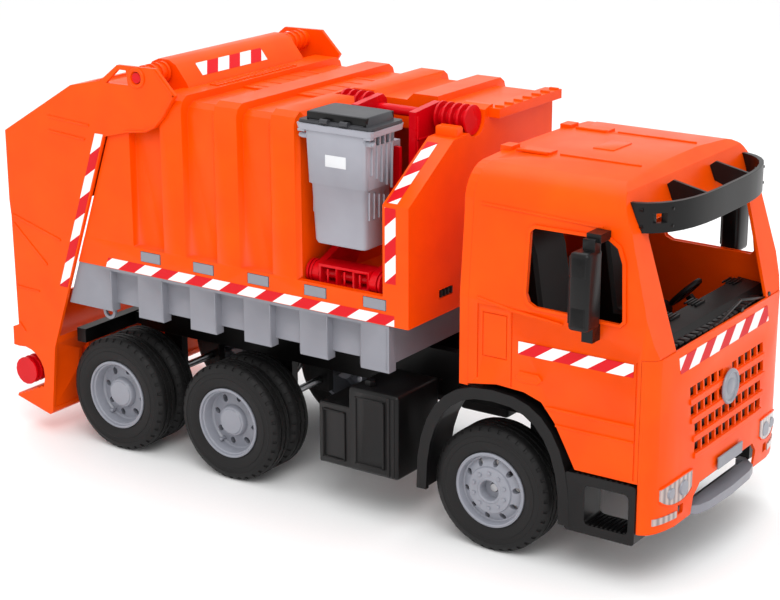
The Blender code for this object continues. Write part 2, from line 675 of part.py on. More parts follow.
def make_container(root):
    sections = [[(joint_x(z), y, z) for y, z in body_section(0.0)]]
    for x, inset in container_stations():
        sections.append([(x, y, z) for y, z in body_section(inset)])
    shell = loft(sections)

    # the lifter bay and everything above the front wall beside it
    cut(shell, box((BAY_REAR, -140, RAIL_TOP), (130, BAY_INNER, 400)),
        box((BAY_REAR, SILL_INNER, BAY_FLOOR), (130, BAY_INNER, RAIL_TOP + 5)))
    wall = [(-SIDE, RAIL_BOTTOM)] + pillar_top() + [(BAY_INNER + 4, 362.0), (BAY_INNER + 4, RAIL_BOTTOM)]
    join(shell, prism(wall, "YZ", BAY_FRONT, CONTAINER_FRONT))
    join(shell, rounded(box((BAY_FRONT + 2, -47.0, 338.0), (CONTAINER_FRONT - 2, -35.0, 350.0)), 1.5, 1))

    # hollow inside, open below and behind
    roof = ROOF - RIB_DEPTH - WALL
    deep = SIDE - RIB_DEPTH - WALL
    cut(shell, box((-420, -deep, 100), (BAY_REAR - WALL, deep, roof)),
        box((BAY_REAR - WALL - 5, BAY_INNER + WALL, 100), (CONTAINER_FRONT - WALL, deep, roof)),
        prism([(-SIDE + WALL, 100.0), (-SIDE + WALL, 292.5), (-62.0, 331.0), (BAY_INNER + WALL + 4, 331.0),
               (BAY_INNER + WALL + 4, 100.0)], "YZ", BAY_FRONT + WALL, CONTAINER_FRONT - WALL),
        box((-420, -SIDE + WALL, 100), (BAY_REAR - WALL, SIDE - WALL, RAIL_TOP - WALL)),
        box((-60, BAY_INNER + WALL, 100), (CONTAINER_FRONT - WALL, SIDE - WALL, RAIL_TOP - WALL)),
        box((-60, -SIDE + WALL, 100), (BAY_FRONT + WALL + 1, BAY_INNER + WALL + 4, BAY_FLOOR - WALL)))

    # chute from the bay into the container, seats for the lifter shaft
    cut(shell, prism(rounded_rectangle((0.0, 232.0), (76.0, 330.0), 6.0), "XZ", 2.0, 14.0),
        prism([(-34.0, 337.0), (-2.0, 337.0), (-2.0, 400.0), (-34.0, 400.0)], "YZ", -31.0, BAY_REAR + 2))

    # lip on the front edge of the roof, housing of the tailgate hinge
    join(shell, box((104.0, BAY_INNER - 2, 351.0), (121.5, 114.0, 359.5)))
    housing = [(-209.0, 345.0), (-209.0, 372.0), (-200.0, 383.5), (-192.0, 387.0), (-180.0, 387.0),
               (-172.0, 383.0), (-158.0, 366.0), (-152.0, 345.0)]
    join(shell, prism(housing, "XZ", -88.0, 88.0))
    cut(shell, box((-207.0, -85.0, 300.0), (-160.0, 85.0, 358.0)))
    cut(shell, rod("Y", PIVOT, 5.4, -95.0, 95.0, 16))

    # openings for the tray's snap tabs
    for x in TAB_X:
        for side in (-1, 1):
            low, high = sorted((side * (SIDE - 7.4), side * (SIDE - WALL + 0.02)))
            cut(shell, box((x - 12.4, low, 150.0), (x + 12.4, high, 211.6)))
            low, high = sorted((side * (SIDE - 5.0), side * (SIDE + 5.0)))
            cut(shell, box((x - 12.4, low, 200.4), (x + 12.4, high, 210.6)))
    cut(shell, box((109.0 - 8, -76.0, 203.0), (120.0, -54.0, 211.0)))
    return finish(shell, "container_shell", "orange", root)


TAB_X = [-179.5 + RIB_PITCH * i for i in range(5)]
LONG_TABS = [(-290.0, -231.0)] + [(-198.0 + RIB_PITCH * i, -167.0 + RIB_PITCH * i) for i in range(4)]
LONG_TABS.append((59.5, 89.5))


def make_tray(root):
    """The container's floor: a plate with a castellated skirt and snap tabs."""
    edge = SIDE - 1.4
    inner = SIDE - 9.0
    tray = box((-300, -edge, 184.0), (89.5, edge, RAIL_BOTTOM - GAP))
    for side in (-1, 1):
        low, high = sorted((side * (inner - WALL), side * inner))
        join(tray, box((-300, low, 150.5), (89.5, high, 186.0)))
        for first, last in LONG_TABS:
            plan = [(first - 7.0, side * (inner - 1.0)), (first, side * edge), (last, side * edge),
                    (last, side * (inner - WALL)), (first - 7.0, side * (inner - WALL))]
            join(tray, prism(plan, "XY", 143.5, 186.5))
        for x in TAB_X:
            low, high = sorted((side * (SIDE - 7.0), side * (SIDE - WALL - GAP)))
            join(tray, box((x - 12.0, low, 185.0), (x + 12.0, high, 211.2)))
            low, high = sorted((side * (SIDE - 5.0), side * (SIDE + 0.4)))
            join(tray, box((x - 11.6, low, 200.8), (x + 11.6, high, 210.2)))
    join(tray, box((85.6, -edge + 0.4, 150.5), (88.8, edge - 0.4, 186.0)))
    join(tray, box((-275.0, -100.0, 150.5), (-272.0, 100.0, 186.0)))
    cut(tray, prism([(-420.0, 100.0), (joint_x(100.0), 100.0), (joint_x(230.0), 230.0), (-420.0, 230.0)],
                    "XZ", -140.0, 140.0))
    for x in (-262, -170, -40, 60):
        for side in (-1, 1):
            join(tray, box((x - 8, side * 42 - 3, 160.0), (x + 8, side * 42 + 3, 185.0)))
    ring = turned([(4.6, -1.6), (7.6, -1.6), (7.6, 1.6), (4.6, 1.6)], "Y", (-243.0, 139.5), steps=16,
                  start=-inner + 1.6)
    join(tray, ring)
    return finish(tray, "container_tray", "grey", root)


# ---------------------------------------------------------------- tailgate

def tailgate_outline():
    """Side view of the tailgate, in x and z, starting at the lower front."""
    gap = 1.4
    points = [(-313.5, 25.0), (joint_x(94.0, gap), 94.0), (joint_x(316.0, gap), 316.0), (-201.0, 323.0),
              (-177.0, 326.0), (-165.0, 331.5), (-154.5, 342.0), (-139.0, 364.0), (-161.5, 386.5),
              (-207.5, 385.5), (-229.0, 369.0), (-267.0, 360.5), (-356.0, 307.0), (-356.0, 237.0),
              (-354.5, 222.0), (-353.5, 110.0), (-361.5, 106.6), (-361.8, 87.5)]
    points += arc(REAR_LIFT, 26.0, 104, 0, 6) + [(-322.5, 56.0)]
    for i in range(7):
        x = -324.0 - 36.0 * i / 7
        z = 49.5 - 15.5 * i / 7
        points += [(x, z), (x - 4.4, z + 0.4)]
    return points + [(-360.5, 33.5), (-317.0, 22.0)]


def make_tailgate(body):
    """A hollow hopper between two side plates that carry the hinge."""
    gate = prism(tailgate_outline(), "XZ", -PLATE_OUT, PLATE_OUT)
    hollow = [(-280.0, 112.0), (-120.0, 290.0), (-120.0, 400.0), (-250.0, 400.0), (-250.0, 361.4),
              (-229.0, 365.6), (joint_x(362.0, 1.4), 362.0), (joint_x(358.6, 1.4), 358.6), (-229.0, 362.0),
              (-265.5, 356.8), (-352.6, 305.0), (-352.6, 237.0), (-351.4, 222.0), (-350.5, 126.0),
              (-345.0, 114.0), (-332.0, 105.0), (-318.0, 103.0), (-306.0, 105.0)]
    lower = [(-280.0, 98.0), (-305.0, 98.0), (-314.5, 80.0), (-317.8, 60.0), (-314.0, 29.0), (-280.0, 29.0)]
    for outline in (hollow, lower):
        cut(gate, prism(outline, "XZ", -PLATE_IN, PLATE_IN))
    cut(gate, prism([(-320.0, 10.0), (-320.9, 58.6), (-370.0, 58.6), (-370.0, 10.0)], "XZ", -92.0, 92.0))
    cut(gate, prism(rounded_rectangle((-104.0, 128.5), (104.0, 218.0), 10.0), "YZ", -366.0, -338.0))
    for side in (-1, 1):
        low, high = sorted((side * 90.5, side * (PLATE_IN + 1)))
        join(gate, rod("Y", PIVOT, 8.4, low, high, 14))
        for i in range(4):
            inner = 92.0 + 8.0 * i
            ring_low, ring_high = sorted((side * inner, side * (inner + 2.5)))
            join(gate, rod("Y", PIVOT, 10.2, ring_low, ring_high, 14))
        low, high = sorted((side * 80.5, side * 84.5))
        ear = [(-312.0, 96.0), (-319.0, 50.0), (-343.0, 53.0)] + arc(REAR_LIFT, 8.5, 250, 100, 6)
        join(gate, prism(ear + [(-330.0, 100.0)], "XZ", low, high))
    for i in range(6):
        y = -75.0 + 30.0 * i
        join(gate, prism([(-304.0, 99.5), (-310.5, 80.0), (-313.0, 30.0), (-319.0, 27.5), (-319.5, 60.0),
                          (-311.0, 99.5)], "XZ", y - 1.5, y + 1.5))
    cut(gate, rod("Y", PIVOT, 5.5, -140.0, 140.0, 16), rod("Y", REAR_LIFT, 4.4, -92.0, 92.0, 14))
    for side in (-1, 1):
        low, high = sorted((side * (PLATE_IN - 2), side * (PLATE_OUT + 4)))
        cut(gate, prism([(-222.0, 367.5), (-206.5, 381.5), (-197.0, 381.5), (-195.0, 368.0)], "XZ", low, high))
    return finish(gate, "tailgate", "orange", body)


def finned_profile(length, radius, core, fins, fin=2.0):
    """Half profile of a ribbed knob: thin fins on a core."""
    points = []
    pitch = (length - fin) / (fins - 1)
    for i in range(fins):
        begin = pitch * i
        points += [(core, begin), (radius, begin), (radius, begin + fin), (core, begin + fin)]
    return points


def make_rear_lift(body):
    """Shaft with a ribbed knob at each end, and the comb plate that grips a bin."""
    knob = finned_profile(30.0, 14.0, 8.5, 5, 2.2)
    knob[0] = (0.0, 0.0)
    knob.insert(1, (13.0, 0.0))
    start = 127.6
    profile = knob + [(4.0, 30.0)]
    mirror = [(r, 2 * start - w) for r, w in reversed(profile)]
    shaft = turned(profile + mirror, "Y", REAR_LIFT, steps=16, direction=-1, start=start, closed=False)
    finish(shaft, "rear_lift_shaft", "red", body)
    x, z = REAR_LIFT
    comb = box((x - 5.0, -78.0, z - 8.0), (x + 5.0, 78.0, z + 8.0))
    for i in range(9):
        y = (i - 4) * 18.0
        join(comb, prism([(x - 4.0, z + 5.0), (x - 4.0, z + 22.0), (x, z + 22.0), (x + 3.0, z + 5.0)], "XZ",
                         y - 4.0, y + 4.0))
    cut(comb, rod("Y", REAR_LIFT, 4.0 + GAP, -90.0, 90.0, 14))
    finish(comb, "rear_lift_comb", "red", body, smooth=False)


# ---------------------------------------------------------------- side lifter and bin

def make_side_lifter(body):
    """Upper shaft with ribbed ends, two arms, a back plate and the lower crossbar."""
    front = [(r, w) for r, w in finned_profile(33.0, 13.6, 8.5, 5, 2.0)]
    front[0] = (0.0, 0.0)
    front.insert(1, (12.8, 0.0))
    start = 107.6
    rear = [(r, 110.6 + w) for r, w in finned_profile(26.0, 13.6, 8.5, 4, 2.0)]
    rear[0] = (4.6, 110.6)
    rear.insert(1, (13.6, 110.6))
    rear[-1] = (0.0, rear[-1][1])
    profile = front + [(4.6, 33.0)] + rear
    shaft = turned(profile, "X", LIFT_AXIS, steps=16, direction=-1, start=start, closed=False)
    finish(shaft, "lifter_shaft", "red", body)

    y, z = LIFT_AXIS
    by, bz = BAR_AXIS
    outline = [(-6.0, 346.0), (-6.0, 358.0), (-12.0, 363.5), (-52.0, 360.0), (-53.0, 262.0), (-68.0, 242.0)]
    outline += arc(BAR_AXIS, 10.5, 80, 260, 8) + [(-60.0, 212.0), (-26.0, 248.0), (-12.0, 330.0)]
    for low, word in ((1.0, "rear"), (62.5, "front")):
        arm = prism(outline, "YZ", low, low + 7.0)
        cut(arm, rod("X", LIFT_AXIS, 4.6 + GAP, low - 2, low + 9, 14), rod("X", BAR_AXIS, 4.0 + GAP, low - 2, low + 9, 12))
        finish(arm, "lifter_arm_" + word, "red", body)

    plate = box((8.0 + GAP, -66.0, 238.0), (62.5 - GAP, -62.5, 331.0))
    for z_rib in (238.0, 268.0, 298.0):
        join(plate, box((8.0 + GAP, -66.0, z_rib), (62.5 - GAP, -55.0, z_rib + 3.0)))
    finish(plate, "lifter_back_plate", "red", body, smooth=False)

    bar = box((8.0 + GAP, -114.0, 208.5), (62.5 - GAP, -94.0, 228.5))
    for low, high in ((10.5, 26.5), (28.5, 44.5), (46.5, 60.0)):
        cut(bar, box((low, -120.0, 211.0), (high, -99.0, 226.0)))
    join(bar, rod("X", BAR_AXIS, 4.0, -5.5, 81.5, 12))
    for x in (-5.5, -1.8, 71.5, 79.0):
        join(bar, rod("X", BAR_AXIS, 11.0, x, x + 2.2, 16))
    finish(bar, "lifter_crossbar", "red", body)


def bin_ring(z, half_x, low_y, high_y, radius=4.0):
    points = rounded_rectangle((BIN_X - half_x, low_y), (BIN_X + half_x, high_y), radius, 2)
    return [(x, y, z) for x, y in points]


def make_bin(body):
    """Two-step tapered waste bin that hangs by a hook on the lifter's back plate."""
    outer = loft([bin_ring(249.0, 26.0, -118.5, -84.5), bin_ring(252.0, 27.5, -119.6, -83.5),
                  bin_ring(303.0, 29.2, -122.0, -81.5), bin_ring(303.6, 31.2, -123.6, -81.0),
                  bin_ring(351.0, 32.4, -125.6, -79.5)])
    join(outer, loft([bin_ring(351.0, 39.0, -127.6, -77.0), bin_ring(356.6, 40.0, -128.6, -76.5)]))
    inner = loft([bin_ring(252.0, 24.2, -116.4, -87.0, 3.0), bin_ring(304.0, 27.0, -119.4, -84.0, 3.0),
                  bin_ring(360.0, 30.4, -123.4, -82.0, 3.0)])
    cut(outer, inner)
    for side in (-1, 1):
        for i in range(5):
            y = -117.0 + 7.4 * i
            low, high = sorted((BIN_X + side * 29.0, BIN_X + side * 36.0))
            cut(outer, box((low, y, 341.0), (high, y + 5.0, 348.5)))
        low, high = sorted((BIN_X + side * 31.0, BIN_X + side * 37.0))
        join(outer, rod("X", (-122.0, 345.0), 2.6, low, high, 12))
    for x in (BIN_X - 16.0, BIN_X + 16.0):
        hook = [(-80.5, 331.3), (-80.5, 336.0), (-56.5, 336.0), (-56.5, 320.0), (-60.0, 320.0), (-60.0, 331.3)]
        join(outer, prism(hook, "YZ", x - 5.0, x + 5.0))
    return finish(outer, "bin_body", "grey", body)


def make_lid(body):
    """Flat flange with a raised centre, two hinge knuckles on the outer edge."""
    lid = loft([bin_ring(357.0, 39.6, -126.4, -77.0), bin_ring(359.4, 39.0, -125.8, -77.6)])
    join(lid, loft([bin_ring(358.5, 32.6, -123.6, -80.4), bin_ring(366.2, 31.6, -122.6, -81.4),
                    bin_ring(367.0, 30.4, -121.6, -82.4)]))
    for x in (25.5, 46.5):
        join(lid, rod("X", LID_AXIS, 2.2, x - 4.0, x + 4.0, 12), box((x - 4, -126.0, 358.0), (x + 4, -120.0, 361.6)))
    return finish(lid, "bin_lid", "black", body)


def main():
    clear_scene()
    root = body_empty("chassis", (0, 0, 0))
    make_chassis(root)
    make_axles(root)
    make_wheels(root)
    make_side_boxes(root)
    make_mudguards(root)
    make_cab(root)
    make_cab_fittings(root)
    make_container(root)
    make_tray(root)
    shaft = rod("Y", PIVOT, 5.0, -PLATE_OUT - 0.8, PLATE_OUT + 0.8, 16)
    finish(shaft, "tailgate_shaft", "red", root)
    tailgate = body_empty("tailgate", (PIVOT[0], 0, PIVOT[1]), root)
    make_tailgate(tailgate)
    rear_lift = body_empty("rear_lift", (REAR_LIFT[0], 0, REAR_LIFT[1]), tailgate)
    make_rear_lift(rear_lift)
    lifter = body_empty("side_lifter", (0, *LIFT_AXIS), root)
    make_side_lifter(lifter)
    bin_empty = body_empty("bin", (BIN_X, -100.0, 249.0), lifter)
    make_bin(bin_empty)
    lid = body_empty("bin_lid", (BIN_X, *LID_AXIS), bin_empty)
    make_lid(lid)


main()
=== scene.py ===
"""Finished look of a toy refuse truck with a side bin lifter and a rear hopper.

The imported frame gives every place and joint. The classes below dress its nodes, replace the ones
whose surface needs finer work, and add trim. Sizes are in millimetres unless a name says otherwise.
"""
import json
import logging
import math
from dataclasses import dataclass, field
from enum import Enum
from typing import Any, Iterable, Optional, Sequence

import bmesh
import bpy
from mathutils import Matrix, Vector

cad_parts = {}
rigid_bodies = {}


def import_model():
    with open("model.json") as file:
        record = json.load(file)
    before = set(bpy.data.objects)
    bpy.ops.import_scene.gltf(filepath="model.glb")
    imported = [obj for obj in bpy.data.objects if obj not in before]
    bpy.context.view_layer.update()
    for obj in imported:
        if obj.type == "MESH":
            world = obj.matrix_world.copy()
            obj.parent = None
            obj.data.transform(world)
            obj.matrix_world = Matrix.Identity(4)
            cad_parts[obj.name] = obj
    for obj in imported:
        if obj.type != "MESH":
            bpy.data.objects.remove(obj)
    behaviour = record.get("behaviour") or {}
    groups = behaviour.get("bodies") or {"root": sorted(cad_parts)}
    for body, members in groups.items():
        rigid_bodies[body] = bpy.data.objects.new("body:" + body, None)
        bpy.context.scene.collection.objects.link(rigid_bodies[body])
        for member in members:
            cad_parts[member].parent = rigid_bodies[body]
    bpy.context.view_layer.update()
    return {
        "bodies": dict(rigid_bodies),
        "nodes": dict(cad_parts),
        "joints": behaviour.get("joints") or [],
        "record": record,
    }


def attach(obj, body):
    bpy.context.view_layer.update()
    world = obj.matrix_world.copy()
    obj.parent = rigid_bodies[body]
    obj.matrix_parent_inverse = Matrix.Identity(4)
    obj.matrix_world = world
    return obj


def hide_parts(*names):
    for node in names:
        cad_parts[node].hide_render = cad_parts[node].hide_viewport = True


log = logging.getLogger("refuse_truck")
MM = 0.001
Point = tuple[float, float, float]
Pair = tuple[float, float]


class Side(Enum):
    """The two sides of the truck; the value is the sign of y."""
    RIGHT = -1
    LEFT = 1


class Axis(Enum):
    """A main direction, by its index."""
    X = 0
    Y = 1
    Z = 2


class AxlePlace(Enum):
    """The three axles and their distance from the middle of the truck."""
    REAR = -234.2
    MID = -96.0
    FRONT = 191.6


# ------------------------------------------------------------------ finishes

def to_linear(code: str) -> tuple[float, float, float, float]:
    """Turn an sRGB hex colour into a linear one.

    Args:
        code: six hex digits, with or without a leading hash.

    Returns:
        Red, green, blue and alpha as linear numbers.
    """
    digits = code.lstrip("#")
    channels = []
    for start in (0, 2, 4):
        value = int(digits[start:start + 2], 16) / 255
        channels.append(value / 12.92 if value <= 0.04045 else ((value + 0.055) / 1.055) ** 2.4)
    return (channels[0], channels[1], channels[2], 1)


def add_node(tree: bpy.types.NodeTree, kind: str, settings: Optional[dict[str, Any]] = None,
             inputs: Optional[dict[Any, Any]] = None) -> bpy.types.Node:
    """Add a node, set its properties, and fill or link its inputs.

    Args:
        tree: the tree that gets the node.
        kind: the node's class name.
        settings: property names and values.
        inputs: socket names or numbers, with a value or the output socket to link.

    Returns:
        The new node.
    """
    node = tree.nodes.new(kind)
    for name, value in (settings or {}).items():
        setattr(node, name, value)
    for name, value in (inputs or {}).items():
        if isinstance(value, bpy.types.NodeSocket):
            tree.links.new(value, node.inputs[name])
        else:
            node.inputs[name].default_value = value
    return node


def new_tree(name: str) -> tuple[bpy.types.Material, bpy.types.NodeTree, bpy.types.Node]:
    """Start a material with an empty Principled shader.

    Args:
        name: the material's name.

    Returns:
        The material, its tree and its shader node.
    """
    material = bpy.data.materials.new(name)
    material.use_nodes = True
    tree = material.node_tree
    return material, tree, tree.nodes["Principled BSDF"]


class Finish:
    """A surface with its own material and the record's slot it belongs to."""
    name: str
    slot: str

    def paint(self, tree: bpy.types.NodeTree, shader: bpy.types.Node, place: bpy.types.NodeSocket) -> None:
        """Fill the shader.

        Args:
            tree: the material's node tree.
            shader: its Principled shader.
            place: the object's own coordinates.
        """
        raise NotImplementedError

    def material(self) -> bpy.types.Material:
        """Build the material, or return the one already built."""
        if self.name in bpy.data.materials:
            return bpy.data.materials[self.name]
        material, tree, shader = new_tree(self.name)
        self.paint(tree, shader, add_node(tree, "ShaderNodeTexCoord").outputs["Object"])
        return material


@dataclass(frozen=True)
class MouldedPlastic(Finish):
    """Injection-moulded ABS or polypropylene: a smooth skin with a faint flow and a rounded edge.

    The tool's polish gives broad soft highlights, and the slow change of tone is the melt's flow.
    """
    name: str
    slot: str
    colour: str
    shade: str
    roughness: float
    flow_mm: float = 42.0
    grain_mm: float = 1.1        # the real spark-eroded grain is near 0.1 mm, too fine to show
    grain_height_mm: float = 0.010
    edge_mm: float = 0.7
    coat: float = 0.0
    specular: float = 0.3

    def paint(self, tree: bpy.types.NodeTree, shader: bpy.types.Node, place: bpy.types.NodeSocket) -> None:
        """Fill the shader."""
        flow = add_node(tree, "ShaderNodeTexNoise", {},
                        {"Vector": place, "Scale": 1000 / self.flow_mm, "Detail": 3, "Roughness": 0.5})
        tone = add_node(tree, "ShaderNodeMapRange", {},
                        {"Value": flow.outputs["Fac"], "From Min": 0.3, "From Max": 0.72})
        colour = add_node(tree, "ShaderNodeMix", {"data_type": "RGBA"},
                          {"Factor": tone.outputs["Result"], "A": to_linear(self.shade),
                           "B": to_linear(self.colour)})
        sheen = add_node(tree, "ShaderNodeMapRange", {},
                         {"Value": flow.outputs["Fac"], "From Min": 0.25, "From Max": 0.75,
                          "To Min": self.roughness + 0.05, "To Max": self.roughness - 0.04})
        grain = add_node(tree, "ShaderNodeTexNoise", {},
                         {"Vector": place, "Scale": 1000 / self.grain_mm, "Detail": 2.0})
        edge = add_node(tree, "ShaderNodeBevel", {"samples": 4}, {"Radius": self.edge_mm * MM})
        bump = add_node(tree, "ShaderNodeBump", {},
                        {"Strength": 0.5, "Distance": self.grain_height_mm * MM,
                         "Height": grain.outputs["Fac"], "Normal": edge.outputs["Normal"]})
        tree.links.new(colour.outputs["Result"], shader.inputs["Base Color"])
        tree.links.new(sheen.outputs["Result"], shader.inputs["Roughness"])
        tree.links.new(bump.outputs["Normal"], shader.inputs["Normal"])
        shader.inputs["IOR"].default_value = 1.53
        shader.inputs["Specular IOR Level"].default_value = self.specular
        shader.inputs["Coat Weight"].default_value = self.coat
        shader.inputs["Coat Roughness"].default_value = 0.12


@dataclass(frozen=True)
class TyreVinyl(Finish):
    """Soft blow-moulded vinyl: deep black with a dull, slightly dusty bloom on the tread."""
    name: str = "vinyl_tyre_black"
    slot: str = "tyre_rubber"
    colour: str = "#0E0D0E"
    bloom: str = "#1B1A1A"
    bloom_mm: float = 9.0
    grain_mm: float = 0.9

    def paint(self, tree: bpy.types.NodeTree, shader: bpy.types.Node, place: bpy.types.NodeSocket) -> None:
        """Fill the shader."""
        cloud = add_node(tree, "ShaderNodeTexNoise", {},
                         {"Vector": place, "Scale": 1000 / self.bloom_mm, "Detail": 5, "Roughness": 0.65})
        colour = add_node(tree, "ShaderNodeMix", {"data_type": "RGBA"},
                          {"Factor": cloud.outputs["Fac"], "A": to_linear(self.colour),
                           "B": to_linear(self.bloom)})
        dull = add_node(tree, "ShaderNodeMapRange", {},
                        {"Value": cloud.outputs["Fac"], "To Min": 0.5, "To Max": 0.68})
        grain = add_node(tree, "ShaderNodeTexNoise", {}, {"Vector": place, "Scale": 1000 / self.grain_mm})
        edge = add_node(tree, "ShaderNodeBevel", {"samples": 4}, {"Radius": 0.5 * MM})
        bump = add_node(tree, "ShaderNodeBump", {},
                        {"Strength": 0.7, "Distance": 0.03 * MM, "Height": grain.outputs["Fac"],
                         "Normal": edge.outputs["Normal"]})
        tree.links.new(colour.outputs["Result"], shader.inputs["Base Color"])
        tree.links.new(dull.outputs["Result"], shader.inputs["Roughness"])
        tree.links.new(bump.outputs["Normal"], shader.inputs["Normal"])
        shader.inputs["Specular IOR Level"].default_value = 0.25


@dataclass(frozen=True)
class ReflectiveTape(Finish):
    """Printed warning tape: slanting red and white fields under a clear film, with a fine cell pattern."""
    name: str
    across: Point                # direction in which the fields follow each other, already slanted
    pitch_mm: float
    offset: float = 0.0
    slot: str = "red_plastic"
    white_share: float = 0.5
    red: str = "#CE0A18"
    white: str = "#EAE8E6"
    cell_mm: float = 1.6         # real prism cells are about 0.3 mm; drawn coarser so they show

    def paint(self, tree: bpy.types.NodeTree, shader: bpy.types.Node, place: bpy.types.NodeSocket) -> None:
        """Fill the shader."""
        run = add_node(tree, "ShaderNodeVectorMath", {"operation": "DOT_PRODUCT"},
                       {0: place, 1: tuple(c * 1000 / self.pitch_mm for c in self.across)})
        shift = add_node(tree, "ShaderNodeMath", {"operation": "ADD"},
                         {0: run.outputs["Value"], 1: self.offset + 40})
        saw = add_node(tree, "ShaderNodeMath", {"operation": "FRACT"}, {0: shift.outputs["Value"]})
        field_ = add_node(tree, "ShaderNodeMath", {"operation": "LESS_THAN"},
                          {0: saw.outputs["Value"], 1: self.white_share})
        colour = add_node(tree, "ShaderNodeMix", {"data_type": "RGBA"},
                          {"Factor": field_.outputs["Value"], "A": to_linear(self.red),
                           "B": to_linear(self.white)})
        cells = add_node(tree, "ShaderNodeTexVoronoi", {}, {"Vector": place, "Scale": 1000 / self.cell_mm})
        bump = add_node(tree, "ShaderNodeBump", {},
                        {"Strength": 0.15, "Distance": 0.01 * MM, "Height": cells.outputs["Distance"]})
        tree.links.new(colour.outputs["Result"], shader.inputs["Base Color"])
        tree.links.new(bump.outputs["Normal"], shader.inputs["Normal"])
        shader.inputs["Roughness"].default_value = 0.42
        shader.inputs["Specular IOR Level"].default_value = 0.2


@dataclass(frozen=True)
class ClearLampPlastic(Finish):
    """Moulded grey-clear lamp plastic with fluting, as on headlamps that hold no bulb; the flute troughs are
    darkened with painted shade.
    """
    name: str = "polystyrene_lamp_grey"
    slot: str = "silver_plastic"
    colour: str = "#B5A29C"
    # painted shade: the darker colour laid into the troughs of the flutes
    flute_shade: str = "#7C7070"
    flute_mm: float = 3.2

    def paint(self, tree: bpy.types.NodeTree, shader: bpy.types.Node, place: bpy.types.NodeSocket) -> None:
        """Fill the shader."""
        flutes = add_node(tree, "ShaderNodeTexWave", {"wave_type": "BANDS", "bands_direction": "Y"},
                          {"Vector": place, "Scale": 1000 / self.flute_mm / 6.283, "Distortion": 0.6})
        # the flute bands mix the lamp colour with the painted shade in the troughs
        colour = add_node(tree, "ShaderNodeMix", {"data_type": "RGBA"},
                          {"Factor": flutes.outputs["Fac"], "A": to_linear(self.flute_shade),
                           "B": to_linear(self.colour)})
        bump = add_node(tree, "ShaderNodeBump", {},
                        {"Strength": 0.5, "Distance": 0.2 * MM, "Height": flutes.outputs["Fac"]})
        tree.links.new(colour.outputs["Result"], shader.inputs["Base Color"])
        tree.links.new(bump.outputs["Normal"], shader.inputs["Normal"])
        shader.inputs["Roughness"].default_value = 0.18
        shader.inputs["Coat Weight"].default_value = 0.6


@dataclass(frozen=True)
class DrawnSteel(Finish):
    """Bright drawn steel rod: fine lines along the draw and a soft grey shine."""
    name: str = "steel_drawn_rod"
    slot: str = "axle_steel"
    colour: str = "#A7A9AC"
    line_mm: float = 0.8

    def paint(self, tree: bpy.types.NodeTree, shader: bpy.types.Node, place: bpy.types.NodeSocket) -> None:
        """Fill the shader."""
        along = add_node(tree, "ShaderNodeMapping", {}, {"Vector": place, "Scale": (1, 0.03, 1)})
        lines = add_node(tree, "ShaderNodeTexNoise", {},
                         {"Vector": along.outputs["Vector"], "Scale": 1000 / self.line_mm})
        dull = add_node(tree, "ShaderNodeMapRange", {},
                        {"Value": lines.outputs["Fac"], "To Min": 0.22, "To Max": 0.42})
        tree.links.new(dull.outputs["Result"], shader.inputs["Roughness"])
        shader.inputs["Base Color"].default_value = to_linear(self.colour)
        shader.inputs["Metallic"].default_value = 1


ORANGE = MouldedPlastic("abs_orange_gloss", "orange_plastic", "#F65000", "#EC4800", 0.33, specular=0.12)
RED = MouldedPlastic("abs_red_gloss", "red_plastic", "#D80414", "#C4000E", 0.28, specular=0.2)
BLACK = MouldedPlastic("polypropylene_black_satin", "black_plastic", "#0B0A0B", "#121111", 0.33, specular=0.2)
DARK = MouldedPlastic("polypropylene_black_dull", "black_plastic", "#090909", "#0F0E0E", 0.45,
                      grain_height_mm=0.03, specular=0.2)
LID = MouldedPlastic("polypropylene_charcoal_lid", "black_plastic", "#3A3A3E", "#323236", 0.42,
                     grain_height_mm=0.04)
GREY = MouldedPlastic("polypropylene_grey_tray", "grey_plastic", "#888991", "#808189", 0.36)
BIN_GREY = MouldedPlastic("polypropylene_grey_bin", "grey_plastic", "#9C9DA6", "#92939C", 0.38)
SILVER = MouldedPlastic("abs_silver_wheel", "silver_plastic", "#8B8D96", "#82848D", 0.32,
                        edge_mm=0.5, specular=0.5)
LABEL = MouldedPlastic("vinyl_pale_label", "grey_plastic", "#D9DADC", "#D2D3D6", 0.4)


# ------------------------------------------------------------------ shaping helpers

def piece(name: str, mesh: bpy.types.Mesh, body: str, finish: Finish,
          angle: float = 35.0) -> bpy.types.Object:
    """Make an object of a finished mesh, dress it and hang it on its body.

    Args:
        name: the piece's name.
        mesh: the mesh, in its final place.
        body: the moving body it rides on.
        finish: its surface.
        angle: edges sharper than this many degrees stay sharp.

    Returns:
        The new object.
    """
    mesh.name = name
    mesh.materials.clear()
    mesh.materials.append(finish.material())
    mesh.shade_smooth()
    mesh.set_sharp_from_angle(angle=math.radians(angle))
    obj = bpy.data.objects.new(name, mesh)
    bpy.context.scene.collection.objects.link(obj)
    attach(obj, body)
    log.info("%s: %d faces on %s", name, len(mesh.polygons), body)
    return obj


def to_mesh(work: bmesh.types.BMesh, recalculate: bool = True) -> bpy.types.Mesh:
    """Close a bmesh into a mesh, with its normals outward.

    Args:
        work: the bmesh, freed here.
        recalculate: whether the normals are worked out anew.

    Returns:
        The mesh.
    """
    if recalculate:
        bmesh.ops.remove_doubles(work, verts=work.verts, dist=0.000005)
        bmesh.ops.recalc_face_normals(work, faces=work.faces)
    mesh = bpy.data.meshes.new("work")
    work.to_mesh(mesh)
    work.free()
    return mesh


